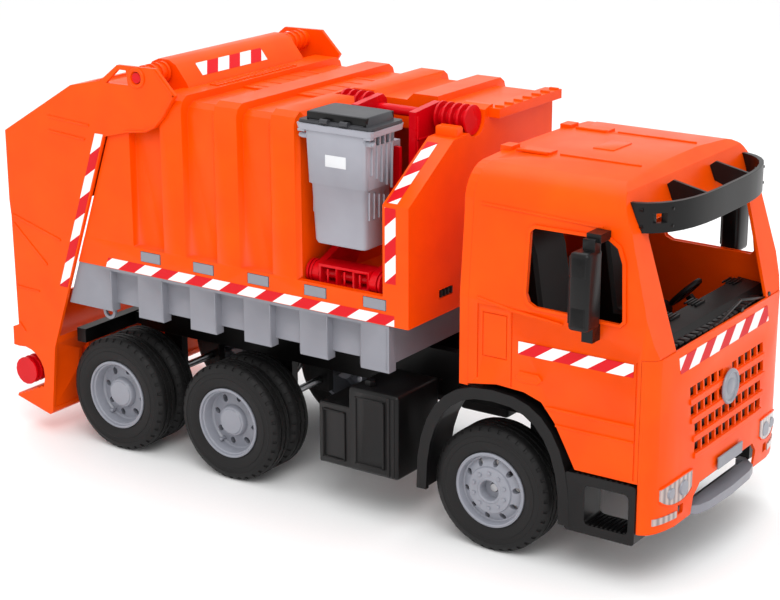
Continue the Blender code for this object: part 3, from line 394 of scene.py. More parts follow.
def add_box(work: bmesh.types.BMesh, first: Point, last: Point, bevel: float = 0.0, segments: int = 2,
            turn: Optional[Matrix] = None) -> list[bmesh.types.BMVert]:
    """Add a box between two corners, with rounded edges if asked.

    Args:
        work: the bmesh that gets the box.
        first: one corner.
        last: the opposite corner.
        bevel: width of the rounding.
        segments: facets of the rounding.
        turn: a turn about the box's centre.

    Returns:
        The box's vertices.
    """
    made = bmesh.ops.create_cube(work, size=1)["verts"]
    bmesh.ops.scale(work, vec=[abs(b - a) * MM for a, b in zip(first, last)], verts=made)
    if bevel:
        edges = list(dict.fromkeys(edge for vert in made for edge in vert.link_edges))
        result = bmesh.ops.bevel(work, geom=edges, offset=bevel * MM, affect="EDGES", segments=segments,
                                 profile=0.5, material=-1)
        made = list(dict.fromkeys(vert for face in result["faces"] for vert in face.verts))
    if turn is not None:
        bmesh.ops.rotate(work, matrix=turn, verts=made)
    bmesh.ops.translate(work, vec=[(a + b) / 2 * MM for a, b in zip(first, last)], verts=made)
    return made


def add_rod(work: bmesh.types.BMesh, axis: Axis, centre: Pair, radius: float, low: float, high: float,
            segments: int = 24, end_radius: Optional[float] = None) -> list[bmesh.types.BMVert]:
    """Add a cylinder or a cone along a main axis.

    Args:
        work: the bmesh that gets it.
        axis: the rod's direction.
        centre: its place on the other two axes, in order.
        radius: radius at the low end.
        low: start along the axis.
        high: end along the axis.
        segments: facets round the rod.
        end_radius: radius at the high end, if it differs.

    Returns:
        The rod's vertices.
    """
    last = radius if end_radius is None else end_radius
    made = bmesh.ops.create_cone(work, cap_ends=True, segments=segments, radius1=radius * MM,
                                 radius2=last * MM, depth=(high - low) * MM)["verts"]
    turn = {Axis.X: Matrix.Rotation(math.pi / 2, 3, "Y"), Axis.Y: Matrix.Rotation(-math.pi / 2, 3, "X"),
            Axis.Z: Matrix.Identity(3)}[axis]
    bmesh.ops.rotate(work, matrix=turn, verts=made)
    place = list(centre)
    place.insert(axis.value, (low + high) / 2)
    bmesh.ops.translate(work, vec=Vector(place) * MM, verts=made)
    return made


def push_faces(work: bmesh.types.BMesh, faces: list[bmesh.types.BMFace], push: Point) -> None:
    """Extrude faces and move them along a vector.

    Args:
        work: the bmesh that holds them.
        faces: the faces.
        push: the way they move.
    """
    moved = bmesh.ops.extrude_face_region(work, geom=faces)["geom"]
    verts = [part for part in moved if isinstance(part, bmesh.types.BMVert)]
    bmesh.ops.translate(work, vec=Vector(push) * MM, verts=verts)


def add_outline(work: bmesh.types.BMesh, outline: Sequence[Point], push: Point) -> None:
    """Add a flat outline pushed along a vector into a solid.

    Args:
        work: the bmesh that gets it.
        outline: corner points in order.
        push: the thickness as a vector.
    """
    verts = [work.verts.new(Vector(point) * MM) for point in outline]
    face = work.faces.new(verts)
    push_faces(work, [face], push)


def add_turned(work: bmesh.types.BMesh, profile: Sequence[Pair], axis: Axis, centre: Pair, start: float,
               direction: int, steps: int = 72, closed: bool = True) -> None:
    """Add a turned solid.

    Args:
        work: the bmesh that gets it.
        profile: radius and distance along the axis, point by point.
        axis: the axis of turning.
        centre: the axis's place on the other two axes, in order.
        start: where distance 0 lies along the axis.
        direction: 1 or -1, the way the distance runs.
        steps: facets round the axis.
        closed: whether the profile's last point joins its first.
    """
    along = Vector((0, 0, 0))
    along[axis.value] = 1
    across = Vector((0, 0, 1)) if axis is not Axis.Z else Vector((1, 0, 0))
    place = list(centre)
    place.insert(axis.value, 0)
    origin = Vector(place) * MM
    verts = [work.verts.new(origin + across * r * MM + along * (start + direction * w) * MM)
             for r, w in profile]
    pairs = list(zip(verts, verts[1:])) + ([(verts[-1], verts[0])] if closed else [])
    edges = [work.edges.new(pair) for pair in pairs]
    bmesh.ops.spin(work, geom=verts + edges, cent=origin, axis=along, angle=2 * math.pi, steps=steps,
                   use_merge=True)


def node_copy(node: str) -> bpy.types.Mesh:
    """A merged copy of a frame node's mesh, its flat faces joined again.

    Args:
        node: the node's name.

    Returns:
        The copy, in its place.
    """
    work = bmesh.new()
    work.from_mesh(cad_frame()["nodes"][node].data)
    bmesh.ops.remove_doubles(work, verts=work.verts, dist=0.00001)
    bmesh.ops.dissolve_limit(work, angle_limit=math.radians(0.4), verts=work.verts, edges=work.edges)
    return to_mesh(work, recalculate=False)


def carve(mesh: bpy.types.Mesh, tools: Iterable[bpy.types.Mesh]) -> bpy.types.Mesh:
    """Cut solids out of a mesh one after another.

    Args:
        mesh: the solid that is worked on.
        tools: the solids that cut it.

    Returns:
        The finished mesh.
    """
    target = bpy.data.objects.new("carved", mesh)
    bpy.context.scene.collection.objects.link(target)
    for tool_mesh in tools:
        tool = bpy.data.objects.new("tool", tool_mesh)
        bpy.context.scene.collection.objects.link(tool)
        modifier = target.modifiers.new("cut", "BOOLEAN")
        modifier.solver = "EXACT"
        modifier.operation = "DIFFERENCE"
        modifier.object = tool
        bpy.context.view_layer.update()
        graph = bpy.context.evaluated_depsgraph_get()
        result = bpy.data.meshes.new_from_object(target.evaluated_get(graph))
        target.modifiers.clear()
        target.data = result
        bpy.data.objects.remove(tool)
    finished = target.data
    bpy.data.objects.remove(target)
    return finished


_frame: dict[str, Any] = {}


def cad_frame() -> dict[str, Any]:
    """The loaded frame."""
    return _frame


def dress(finish: Finish, *nodes: str) -> None:
    """Give kept frame nodes a finish.

    Args:
        finish: their finish.
        nodes: names of the nodes.
    """
    for name in nodes:
        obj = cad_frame()["nodes"][name]
        for holder in obj.material_slots:
            holder.material = finish.material()
        if not obj.material_slots:
            obj.data.materials.append(finish.material())


def swap(name: str, mesh: bpy.types.Mesh, node: str, body: str, finish: Finish,
         angle: float = 32.0) -> bpy.types.Object:
    """Show a finished piece in place of a frame node.

    Args:
        name: the piece's name.
        mesh: its mesh, in place.
        node: the node it stands for.
        body: the body it rides on.
        finish: its finish.
        angle: edges sharper than this stay sharp.

    Returns:
        The piece.
    """
    obj = piece(name, mesh, body, finish, angle)
    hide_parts(node)
    return obj


def trim(name: str, work: bmesh.types.BMesh, finish: Finish, body: str = "chassis",
         angle: float = 40.0) -> None:
    """Close a bmesh and show it as a piece of its own.

    Args:
        name: the piece's name.
        work: its shape, freed here.
        finish: its surface.
        body: the body it rides on.
        angle: edges sharper than this stay sharp.
    """
    piece(name, to_mesh(work), body, finish, angle)


def mould(finish: Finish, body: str, *nodes: str) -> None:
    """Show smooth-shaded moulded copies in place of frame nodes.

    Args:
        finish: their finish.
        body: the body they ride on.
        nodes: names of the nodes.
    """
    for node in nodes:
        swap(node + "_moulded", node_copy(node), node, body, finish, 34)


# ------------------------------------------------------------------ wheels

@dataclass
class Wheel:
    """One wheel: a vinyl tyre with a serrated shoulder on a silver plastic rim."""
    place: AxlePlace
    side: Side
    radius: float = 57.0
    bore: float = 34.2
    face: float = 121.6
    steps: int = 108

    @property
    def twin(self) -> bool:
        """Whether this is a wide wheel shaped as a pair."""
        return self.place is not AxlePlace.FRONT

    @property
    def label(self) -> str:
        """The wheel's name, as in the frame."""
        return f"{self.place.name.lower()}_{self.side.name.lower()}"

    @property
    def width(self) -> float:
        """Overall width."""
        return 57 if self.twin else 36

    def tread(self, low: float, high: float, grooves: Sequence[float]) -> list[Pair]:
        """Profile of one tyre's outside from wall to wall, with running grooves."""
        points = [(self.bore + 0.2, low + 2.2), (37, low + 1), (40.5, low + 0.1), (44, low),
                  (44.4, low + 0.5), (48.5, low + 0.7), (49, low + 0.2), (51.5, low + 1), (53.4, low + 2),
                  (56.2, low + 4.6), (57, low + 6.4)]
        for centre in grooves:
            points += [(57, centre - 1.1), (55.3, centre - 0.8), (55.3, centre + 0.8), (57, centre + 1.1)]
        points += [(57, high - 6.4), (56.2, high - 4.6), (53.4, high - 2), (51.5, high - 1),
                   (49, high - 0.2), (44, high), (37, high - 1), (self.bore + 0.2, high - 2.2)]
        return points

    def tyre_profile(self) -> list[Pair]:
        """Whole tyre profile, single or twin."""
        if not self.twin:
            return self.tread(0, self.width, (11.5, 18, 24.5))
        outer = self.tread(0, 27.5, (10.5, 17))[:-4]
        inner = self.tread(29.5, self.width, (40, 46.5))[7:]
        return outer + [(51.5, 27.4), (48.5, 28), (48.5, 29), (51.5, 29.6)] + inner

    def build_tyre(self) -> None:
        """Spin the tyre and cut notches in its shoulders."""
        work = bmesh.new()
        centre = (self.place.value, self.radius)
        start = self.side.value * self.face
        add_turned(work, self.tyre_profile(), Axis.Y, centre, start, -self.side.value, self.steps)
        bmesh.ops.remove_doubles(work, verts=work.verts, dist=0.000005)
        bmesh.ops.recalc_face_normals(work, faces=work.faces)
        notch = []
        for face in work.faces:
            middle = face.calc_center_median() / MM
            dx, dz = middle.x - centre[0], middle.z - centre[1]
            reach = math.hypot(dx, dz)
            turn = math.degrees(math.atan2(dz, dx)) % 360
            if 54 < reach < 56.5 and int(turn / 360 * self.steps) % 3 == 0:
                notch.append(face)
        bmesh.ops.inset_individual(work, faces=notch, thickness=0.25 * MM, depth=-1.1 * MM)
        mesh = to_mesh(work, recalculate=False)
        swap(f"tyre_moulded_{self.label}", mesh, f"tyre_{self.label}", f"wheel_{self.label}", TyreVinyl(), 28)

    def front_rim(self) -> list[Pair]:
        """Profile of the front rim with its hollow hub."""
        back = self.width - 1.5
        return [(33.9, 1.2), (33.9, back), (31, back), (31, 11.5), (20.5, 9), (10.5, 9), (10.5, back),
                (4.2, back), (4.2, 9.5), (8.6, 9.2), (8.8, 1.6), (9.4, 0.2), (10.6, -0.5), (11.6, 0.1),
                (12.2, 0.5), (19.6, 0.5), (20.6, 1), (21.4, 2.8), (28.4, 6.6), (29.6, 6.4), (30.4, 3),
                (31.2, 1), (32.4, 0.4)]

    def rear_rim(self) -> list[Pair]:
        """Profile of the deep twin-wheel rim with its flat hub cap."""
        back = self.width - 1.5
        return [(4.2, 19), (4.2, back), (10.5, back), (10.5, 21), (28.5, 21.5), (31, 25), (31, back),
                (33.9, back), (33.9, 1.2), (32.6, 0.4), (31.6, 0.9), (31, 3.4), (30, 3.8), (29.4, 5.4),
                (28.6, 13.8), (27.2, 15.4), (17, 13.6), (15.4, 12.4), (14.6, 8.6), (13.6, 7.4), (12.6, 7.1),
                (11.8, 6.2), (3, 6), (0, 6), (0, 14), (4.2, 14)]

    def build_rim(self) -> None:
        """Turn the rim, pierce its oval holes and set its nuts."""
        centre = (self.place.value, self.radius)
        sign = self.side.value
        profile = self.rear_rim() if self.twin else self.front_rim()
        work = bmesh.new()
        add_turned(work, profile, Axis.Y, centre, sign * self.face, -sign, 80)
        rim = to_mesh(work)
        count, ring, wide, tall = (8, 22.4, 2.9, 3.6) if self.twin else (10, 25, 2.5, 3.2)
        holes = bmesh.new()
        for i in range(count):
            turn = 2 * math.pi * (i + 0.25) / count
            made = add_rod(holes, Axis.Y, (0, 0), 1, -16, 16, 20)
            bmesh.ops.scale(holes, vec=(wide, 1, tall), verts=made)
            bmesh.ops.rotate(holes, matrix=Matrix.Rotation(turn, 3, "Y"), verts=made)
            at = Vector((centre[0] + ring * math.sin(turn), sign * (self.face - 12),
                         centre[1] + ring * math.cos(turn)))
            bmesh.ops.translate(holes, vec=at * MM, verts=made)
        rim = carve(rim, [to_mesh(holes)])
        swap(f"rim_moulded_{self.label}", rim, f"rim_{self.label}", f"wheel_{self.label}", SILVER, 30)
        work = bmesh.new()
        if self.twin:
            for turn in (0.6, 0.6 + math.pi):
                at = (centre[0] + 26 * math.sin(turn), centre[1] + 26 * math.cos(turn))
                low, high = sorted((sign * (self.face - 15.2), sign * (self.face - 9)))
                add_rod(work, Axis.Y, at, 1.6, low, high, 12)
        else:
            for i in range(10):
                turn = 2 * math.pi * i / 10
                at = (centre[0] + 16 * math.sin(turn), centre[1] + 16 * math.cos(turn))
                ends = [sign * (self.face - 1), sign * (self.face + 0.9)]
                radii = (1.9, 1.5) if sign > 0 else (1.5, 1.9)
                add_rod(work, Axis.Y, at, radii[0], min(ends), max(ends), 14, radii[1])
        trim(f"wheel_nuts_{self.label}", work, SILVER, f"wheel_{self.label}", 30)

    def build(self) -> None:
        """Make the whole wheel."""
        self.build_tyre()
        self.build_rim()


# ------------------------------------------------------------------ warning tape

@dataclass
class Tape:
    """A strip of warning tape on a flat surface: its outline, thickness and slant."""
    name: str
    body: str
    outline: Sequence[Point]
    push: Point
    across: Point
    pitch: float
    offset: float = 0.0

    def build(self) -> None:
        """Make the strip and print it."""
        work = bmesh.new()
        add_outline(work, self.outline, self.push)
        finish = ReflectiveTape("tape_" + self.name, self.across, self.pitch, self.offset)
        trim("tape_" + self.name, work, finish, self.body, 35)


# ------------------------------------------------------------------ cab

@dataclass
class Cab:
    """The cab's skin with its seams, the mask with its lamps, and the fittings outside and inside."""
    door_plane: float = 125.0
    seam: float = 1.1
    seam_depth: float = 0.9

    def bow_x(self, y: float, z: float) -> float:
        """How far forward the mask's face lies at y and z."""
        turn = math.asin(min(1, (abs(y) / self.door_plane) ** (1 / 0.62)))
        bow = 330 + 26 * math.cos(turn) ** 0.62
        lean = 352.5 + (z - 53) * 4.5 / 37 if z < 90 else 357 - (z - 90) / 15
        return min(bow, lean if z < 165 else 352 - (z - 165) * 5 / 38)

    def bowed_strip(self, work: bmesh.types.BMesh, lower: Sequence[Pair], upper: Sequence[Pair], lift: float,
                    thick: float) -> None:
        """Add a strip that follows the mask's bow.

        Args:
            work: the bmesh that gets the strip.
            lower: y and z along the lower edge.
            upper: y and z along the upper edge, as many points.
            lift: how far the strip's outer face stands in front of the mask.
            thick: its thickness, inward.
        """
        loops = []
        for edge in (lower, upper):
            verts = [work.verts.new(Vector((self.bow_x(y, z) + lift, y, z)) * MM) for y, z in edge]
            loops.append([work.edges.new(pair) for pair in zip(verts, verts[1:])])
        faces = bmesh.ops.bridge_loops(work, edges=loops[0] + loops[1])["faces"]
        bmesh.ops.recalc_face_normals(work, faces=faces)
        if sum(face.normal.x for face in faces) < 0:
            bmesh.ops.reverse_faces(work, faces=faces)
        push_faces(work, faces, (-thick, 0, 0))

    def seam_strip(self, points: Sequence[Pair], side: Side, width: float = 0.0) -> list[bpy.types.Mesh]:
        """Cutters that follow a line on the door plane, one for each straight run.

        Args:
            points: x and z along the line.
            side: which door.
            width: the groove's width, or the usual one if 0.

        Returns:
            The cutters' meshes.
        """
        half = (width or self.seam) / 2
        sign = side.value
        cutters = []
        for (x0, z0), (x1, z1) in zip(points, points[1:]):
            work = bmesh.new()
            run = Vector((x1 - x0, 0, z1 - z0)).normalized()
            over = Vector((-run.z, 0, run.x)) * half
            a, b = Vector((x0, 0, z0)) - run * half, Vector((x1, 0, z1)) + run * half
            outline = [tuple(p + Vector((0, sign * (self.door_plane - self.seam_depth), 0)))
                       for p in (a - over, b - over, b + over, a + over)]
            add_outline(work, outline, (0, sign * 6, 0))
            cutters.append(to_mesh(work))
        return cutters

    def build_shell(self) -> None:
        """Copy the shell, groove its doors and add pressed lines."""
        shell = node_copy("cab_shell")
        cutters = []
        for side in Side:
            for line in ([(214, 158), (214, 224)], [(181, 160), (181, 224)],
                         [(330, 100), (330, 200)]):
                cutters += self.seam_strip(line, side)
            hatch = [(186, 180), (209, 180), (209, 218), (186, 218), (186, 180)]
            cutters += self.seam_strip(hatch, side, 0.9)
        shell = carve(shell, cutters)
        swap("cab_skin", shell, "cab_shell", "chassis", ORANGE, 28)
        for side in Side:
            sign = side.value
            name = side.name.lower()
            work = bmesh.new()
            # window surround, lower belt, sill crease and grip
            y = sign * (self.door_plane - 0.3)
            push = (0, sign * 1.3, 0)
            for low, high, z0, z1 in ((247, 329, 144.4, 147), (257, 329, 131, 133)):
                outline = [(low, y, z0), (high, y, z0), (high, y, z1), (low, y, z1)]
                add_outline(work, outline, push)
            grip = [(218, 166.5), (224, 163.5), (240, 163.8), (244, 168), (240, 172.5), (222, 173)]
            add_outline(work, [(x, y, z) for x, z in grip], push)
            crease = [(180, 231), (181, 229.2), (214, 222.5), (262, 219.6), (262, 221), (214, 225.5)]
            add_outline(work, [(x, y, z) for x, z in crease], push)
            bmesh.ops.remove_doubles(work, verts=work.verts, dist=0.000005)
            bmesh.ops.recalc_face_normals(work, faces=work.faces)
            tops = [face for face in work.faces if face.normal.y * sign > 0.9]
            edges = list(dict.fromkeys(edge for face in tops for edge in face.edges))
            bmesh.ops.bevel(work, geom=edges, offset=0.5 * MM, affect="EDGES", segments=3,
                            profile=0.5, material=-1)
            trim("door_mouldings_" + name, work, ORANGE, "chassis", 45)
            work = bmesh.new()
            y2 = sign * (self.door_plane + 0.55)
            slot_ = [(221.5, 169), (225, 166.2), (238, 166.6), (240.5, 169.2), (238, 171), (225, 171.2)]
            add_outline(work, [(x, y2, z) for x, z in slot_], (0, sign * 0.6, 0))
            trim("door_grip_recess_" + name, work, ORANGE, "chassis", 45)
            # drip rail above the door, leaning with the upper panel
            work = bmesh.new()
            rail = [(179, 308), (293, 304), (293, 306), (179, 310.2)]
            add_outline(work, [(x, sign * 117.7, z) for x, z in rail], (0, sign * 1.5, 0))
            trim("drip_rail_" + name, work, ORANGE, "chassis", 45)
            # surround of the side window
            ring = bmesh.new()
            frame_pts = [(224.5, 241), (227.5, 232.5), (235, 228.5), (315, 227.5), (319.3, 232), (315.4, 280),
                         (310, 292.6), (299.5, 298.6), (230, 298.2), (225, 293.6)]
            hole_pts = [(227, 240.5), (230, 234), (236.3, 231), (313.4, 230), (316.3, 232.9), (312.4, 278.6),
                        (307.4, 290.4), (298.8, 295.8), (231.4, 295.4), (227.6, 292)]
            loops = []
            for pts in (frame_pts, hole_pts):
                verts = []
                for x, z in pts:
                    lean = max(0, z - 228) * 6.5 / 72
                    verts.append(ring.verts.new(Vector((x, sign * (self.door_plane + 0.5 - lean), z)) * MM))
                edges = [ring.edges.new((a, b)) for a, b in zip(verts, verts[1:] + verts[:1])]
                loops += edges
            bmesh.ops.bridge_loops(ring, edges=loops)
            bmesh.ops.recalc_face_normals(ring, faces=ring.faces)
            if sum(face.normal.y for face in ring.faces) * sign > 0:
                bmesh.ops.reverse_faces(ring, faces=ring.faces)
            bmesh.ops.solidify(ring, geom=ring.faces, thickness=1.6 * MM)
            trim("window_surround_" + name, ring, ORANGE, "chassis", 50)

    def build_roof(self) -> None:
        """Two long swages and a blank oval pad on the roof."""
        work = bmesh.new()
        for y in (-51, 51):
            add_box(work, (214, y - 1, 340.4), (290, y + 1, 342.3), 0.6)
            add_box(work, (176, y - 8, 341), (206, y - 6.6, 343.4), 0.5)
        trim("roof_swages", work, ORANGE)
        work = bmesh.new()
        add_box(work, (226, -17, 340.6), (246, 17, 342.6), 0.8)
        trim("roof_pad_blank", work, ORANGE)

    def build_mask(self) -> None:
        """The mask with its rows of openings, slats and corner lamps."""
        mask = node_copy("cab_front_mask")
        work = bmesh.new()
        for row, (z, count) in enumerate(((163.5, 11), (147, 11), (130.5, 10), (114.5, 10))):
            for i in range(count):
                y = (i - (count - 1) / 2) * 13.2
                if row > 1 or abs(y) > 17.0:
                    add_box(work, (341, y - 5.5, z - 4.6), (362, y + 5.5, z + 4.4))
        mask = carve(mask, [to_mesh(work)])
        swap("mask_skin", mask, "cab_front_mask", "chassis", ORANGE, 28)
        work = bmesh.new()
        for z, reach in ((155.4, 73), (138.8, 72), (122.6, 69), (106.9, 66)):
            across = [reach * (i - 16) / 16 for i in range(33)]
            self.bowed_strip(work, [(y, z - 1.8) for y in across], [(y, z + 2.6) for y in across], 1.4, 2.2)
        trim("grille_slats", work, ORANGE)
        work = bmesh.new()
        across = [76 * (i - 12) / 12 for i in range(25)]
        self.bowed_strip(work, [(y, 107) for y in across], [(y, 171) for y in across], -4.4, 0.8)
        trim("grille_backing", work, DARK)
        for side in Side:
            sign = side.value
            name = side.name.lower()
            across = [68 + 44 * i / 14 for i in range(15)]
            low = [(sign * y, 74 + 7 * abs(2 * (y - 90) / 44) ** 2.6) for y in across]
            high = [(sign * y, 96 - 5 * ((y - 68) / 44) ** 2) for y in across]
            work = bmesh.new()
            self.bowed_strip(work, low, high, 0.9, 1.6)
            trim("headlamp_" + name, work, ClearLampPlastic())
            work = bmesh.new()
            rim_low = [(y, z - 1.3) for y, z in low]
            self.bowed_strip(work, rim_low, low, 1.3, 2)
            self.bowed_strip(work, high, [(y, z + 1.2) for y, z in high], 1.3, 2)
            trim("headlamp_rim_" + name, work, ORANGE)
            work = bmesh.new()
            for y, radius in ((81, 7.4), (99, 5.6)):
                x = self.bow_x(y, 84.5)
                add_rod(work, Axis.X, (sign * y, 84.5), radius, x - 1, x + 1.8, 28, radius - 1)
            trim("headlamp_bowls_" + name, work, SILVER)
            across = [90 + 28 * i / 10 for i in range(11)]
            work = bmesh.new()
            low, high = [[(sign * y, z) for y in across] for z in (60.6, 66.4)]
            self.bowed_strip(work, low, high, 0.9, 1.5)
            trim("fog_lamp_" + name, work, ClearLampPlastic())
        dress(BLACK, "front_carrier")
        mould(GREY, "chassis", "front_step_bar", "number_plate_blank")
        work = bmesh.new()
        add_turned(work, [(0, 0), (15.4, 0), (15.6, 1), (15, 2.2), (13.6, 2.8), (12.4, 2.2), (12, 1.2),
                          (7.5, 1), (6.8, 1.6), (5, 2.6), (0, 3.2)], Axis.X, (0, 149), 354.5, 1, 56, False)
        swap("grille_roundel_blank", to_mesh(work), "grille_badge", "chassis", SILVER, 30)

    def build_fittings(self) -> None:
        """Visor trim, mirrors, wipers and interior."""
        mould(BLACK, "chassis", "sun_visor", "mirror_right", "mirror_left")
        mould(DARK, "chassis", "cab_interior", "steering_wheel")
        dress(ORANGE, "cab_rear_frame")
        for side in Side:
            sign = side.value
            name = side.name.lower()
            work = bmesh.new()
            for low, high in ((231, 268), (271, 287)):
                add_box(work, (278.6, sign * 132, low), (280.3, sign * 149, high), 0.8)
            trim("mirror_faces_" + name, work, DARK)
            work = bmesh.new()
            for z in (238, 279):
                add_box(work, (283, sign * 151.2, z - 8), (296, sign * 152, z + 8), 0.3)
            trim("mirror_ribs_" + name, work, BLACK)
            # round screw studs at the corners of the visor's end
            work = bmesh.new()
            for y, z in ((104, 306), (104, 320), (86, 306), (86, 320)):
                x = 306 + 43 * math.sqrt(max(0, 1 - (y / 107) ** 3.4))
                add_rod(work, Axis.X, (sign * y, z), 1.3, x - 2, x + 0.7, 12)
            trim("visor_studs_" + name, work, BLACK)
        work = bmesh.new()
        for sign, start in ((-1, 18), (1, 74)):
            turn = Matrix.Rotation(math.radians(-12 * sign), 3, "X")
            add_box(work, (342.6, start - 36, 206), (344.4, start + 22, 208.4), 0.6, 2, turn)
            add_rod(work, Axis.X, (start + 20, 204.4), 2.6, 338.5, 346, 18)
        trim("wipers", work, BLACK)
        # scuttle under the windscreen
        work = bmesh.new()
        for i in range(17):
            y = -80 + 10 * i
            x = 345.4 - 2.8 * (y / 80) ** 2
            add_box(work, (x - 9, y - 4.2, 202.2), (x - 1, y + 4.2, 205), 0.8)
        trim("scuttle_ribs", work, BLACK)
        # dashboard vents, console lines and seat piping
        work = bmesh.new()
        for y in (-80, -28, 20, 96):
            for i in range(4):
                add_box(work, (303 + i * 3.4, y - 9, 209.2), (304.8 + i * 3.4, y + 9, 211), 0.5)
        for y in (-62, 62):
            for dy in (-18, 18):
                add_box(work, (221.6, y + dy - 1, 190), (223, y + dy + 1, 204), 0.4)
        trim("cab_inner_trim", work, BLACK)

    def build_guards(self) -> None:
        """Side boxes, caps and mudguards with their ribs and treads."""
        mould(BLACK, "chassis", "mudguard_right", "mudguard_left", "side_box_right", "side_box_left",
              "filler_cap_right", "filler_cap_left")
        for side in Side:
            sign = side.value
            name = side.name.lower()
            work = bmesh.new()
            for i in range(9):
                x = 289.5 + i * 4.2
                add_box(work, (x, sign * 100, 51.2), (x + 2, sign * 126.2, 52.6), 0.3)
            for i in range(10):
                x = 278 + i * 5.2
                add_box(work, (x, sign * 100, 94.6), (x + 2.4, sign * 126.2, 95.6), 0.3)
            trim("step_treads_" + name, work, BLACK)
            work = bmesh.new()
            for x0, x1, z0, z1 in ((19, 44, 52, 99), (55, 86, 53, 117)):
                for a, b, c, d in ((x0, x1, z0, z0 + 1.6), (x0, x1, z1 - 1.6, z1), (x0, x0 + 1.6, z0, z1),
                                   (x1 - 1.6, x1, z0, z1)):
                    add_box(work, (a, sign * 126.2, c), (b, sign * 126.9, d), 0.3)
            trim("side_box_ribs_" + name, work, BLACK)

    def build_tapes(self) -> None:
        """Tape on both doors and across the mask."""
        for side in Side:
            sign = side.value
            y = sign * (self.door_plane + 0.05)
            outline = [(220.5, y, 187.4), (327, y, 187.4), (327, y, 198.6), (220.5, y, 198.6)]
            Tape("door_" + side.name.lower(), "chassis", outline, (0, sign * 0.25, 0), (1, 0, -1.5),
                 33, 0.36).build()
        work = bmesh.new()
        across = [86 * (i - 14) / 14 for i in range(29)]
        self.bowed_strip(work, [(y, 183.4) for y in across], [(y, 196.6) for y in across], 0.35, 0.3)
        finish = ReflectiveTape("tape_mask", (0, 1, -1.3), 38, 0.15)
        trim("tape_mask", work, finish, "chassis", 35)

    def build(self) -> None:
        """Make the whole cab."""
        self.build_shell()
        self.build_roof()
        self.build_mask()
        self.build_fittings()
        self.build_guards()
        self.build_tapes()


# ------------------------------------------------------------------ container

@dataclass
class Container:
    """The ribbed load container, its grey tray and its tapes."""
    side: float = 124.4

    def build_shell(self) -> None:
        """The shell with its roof panel, teeth and panel lines."""
        shell = node_copy("container_shell")
        swap("container_skin", shell, "container_shell", "chassis", ORANGE, 28)
        work = bmesh.new()
        # long roof panel across the ribs, low ridges on it, and the row of teeth before the hinge
        add_box(work, (-148, -34, 356), (-34, 62, 358.6), 0.8)
        for i in range(5):
            y = -26 + i * 20
            add_box(work, (-146, y - 0.6, 358.2), (-36, y + 0.6, 359.2), 0.3)
        trim("roof_panel", work, ORANGE)
        work = bmesh.new()
        for i in range(22):
            y = -64 + i * 5.6
            add_box(work, (-150.6, y - 1.5, 362.6), (-140, y + 1.5, 364.4), 0.5)
        trim("roof_teeth", work, ORANGE)
        work = bmesh.new()
        for i in range(7):
            y = 12 + i * 16
            add_box(work, (112, y - 1.6, 353), (121.3, y + 1.6, 361.4), 0.6)
        trim("front_lip_teeth", work, ORANGE)
        # louvre low on the front wall
        work = bmesh.new()
        for y in (-74, -68.5, -63, -57.5):
            add_box(work, (108, y, 204), (110.9, y + 3, 210), 0.3)
        trim("front_wall_louvre", work, DARK)

    def build_tray(self) -> None:
        """The tray with thin ribs at the edges of its long tabs."""
        mould(GREY, "chassis", "container_tray")
        for side in Side:
            sign = side.value
            work = bmesh.new()
            for x in [-229 + 63.7 * i for i in range(6)]:
                inner, outer = sign * (self.side - 1.5), sign * (self.side - 0.9)
                add_box(work, (x - 3.4, inner, 146), (x - 2.2, outer, 184), 0.25)
            trim("tray_ribs_" + side.name.lower(), work, GREY)

    def build_tapes(self) -> None:
        """Tape along the rails, on the pillar and on the hinge housing."""
        for side in Side:
            sign = side.value
            y = sign * (self.side + 0.05)
            outline = [(-236, y, 188), (96, y, 188), (96, y, 197.6), (-232.6, y, 197.6)]
            Tape("rail_" + side.name.lower(), "chassis", outline, (0, sign * 0.25, 0), (1, 0, -1.4),
                 41, 0.30).build()
        y = -self.side - 0.05
        Tape("pillar", "chassis", [(86.6, y, 226), (97.6, y, 226), (97.6, y, 293), (86.6, y, 293)],
             (0, -0.25, 0), (-0.9, 0, 1), 33, 0.5).build()
        rise = Vector((0, 70.4, 46)).normalized()
        out = Vector((0, -rise.z, rise.y)) * 0.3
        foot = Vector((0, -self.side, 295))
        a, b = foot + rise * 3 + out * 0.2, foot + rise * 78 + out * 0.2
        outline = [(86.6, a.y, a.z), (97.6, a.y, a.z), (97.6, b.y, b.z), (86.6, b.y, b.z)]
        Tape("pillar_slope", "chassis", outline, tuple(out), (-0.9, rise.y, rise.z), 33, 0.1).build()
        slope = Vector((14, 0, -17)).normalized()
        out = Vector((-slope.z, 0, slope.x)) * 0.3
        if out.z < 0:
            out = -out
        top = Vector((-172, 0, 383)) + slope * 3 + out * 0.3
        low = Vector((-172, 0, 383)) + slope * 16.5 + out * 0.3
        outline = [(top.x, -62, top.z), (low.x, -62, low.z), (low.x, 36, low.z), (top.x, 36, top.z)]
        Tape("hinge_housing", "chassis", outline, tuple(out), (1.3, 1, 0), 33, 0.55).build()

    def build(self) -> None:
        """Make the whole container."""
        self.build_shell()
        self.build_tray()
        self.build_tapes()
        mould(RED, "chassis", "tailgate_shaft")


# ------------------------------------------------------------------ tailgate

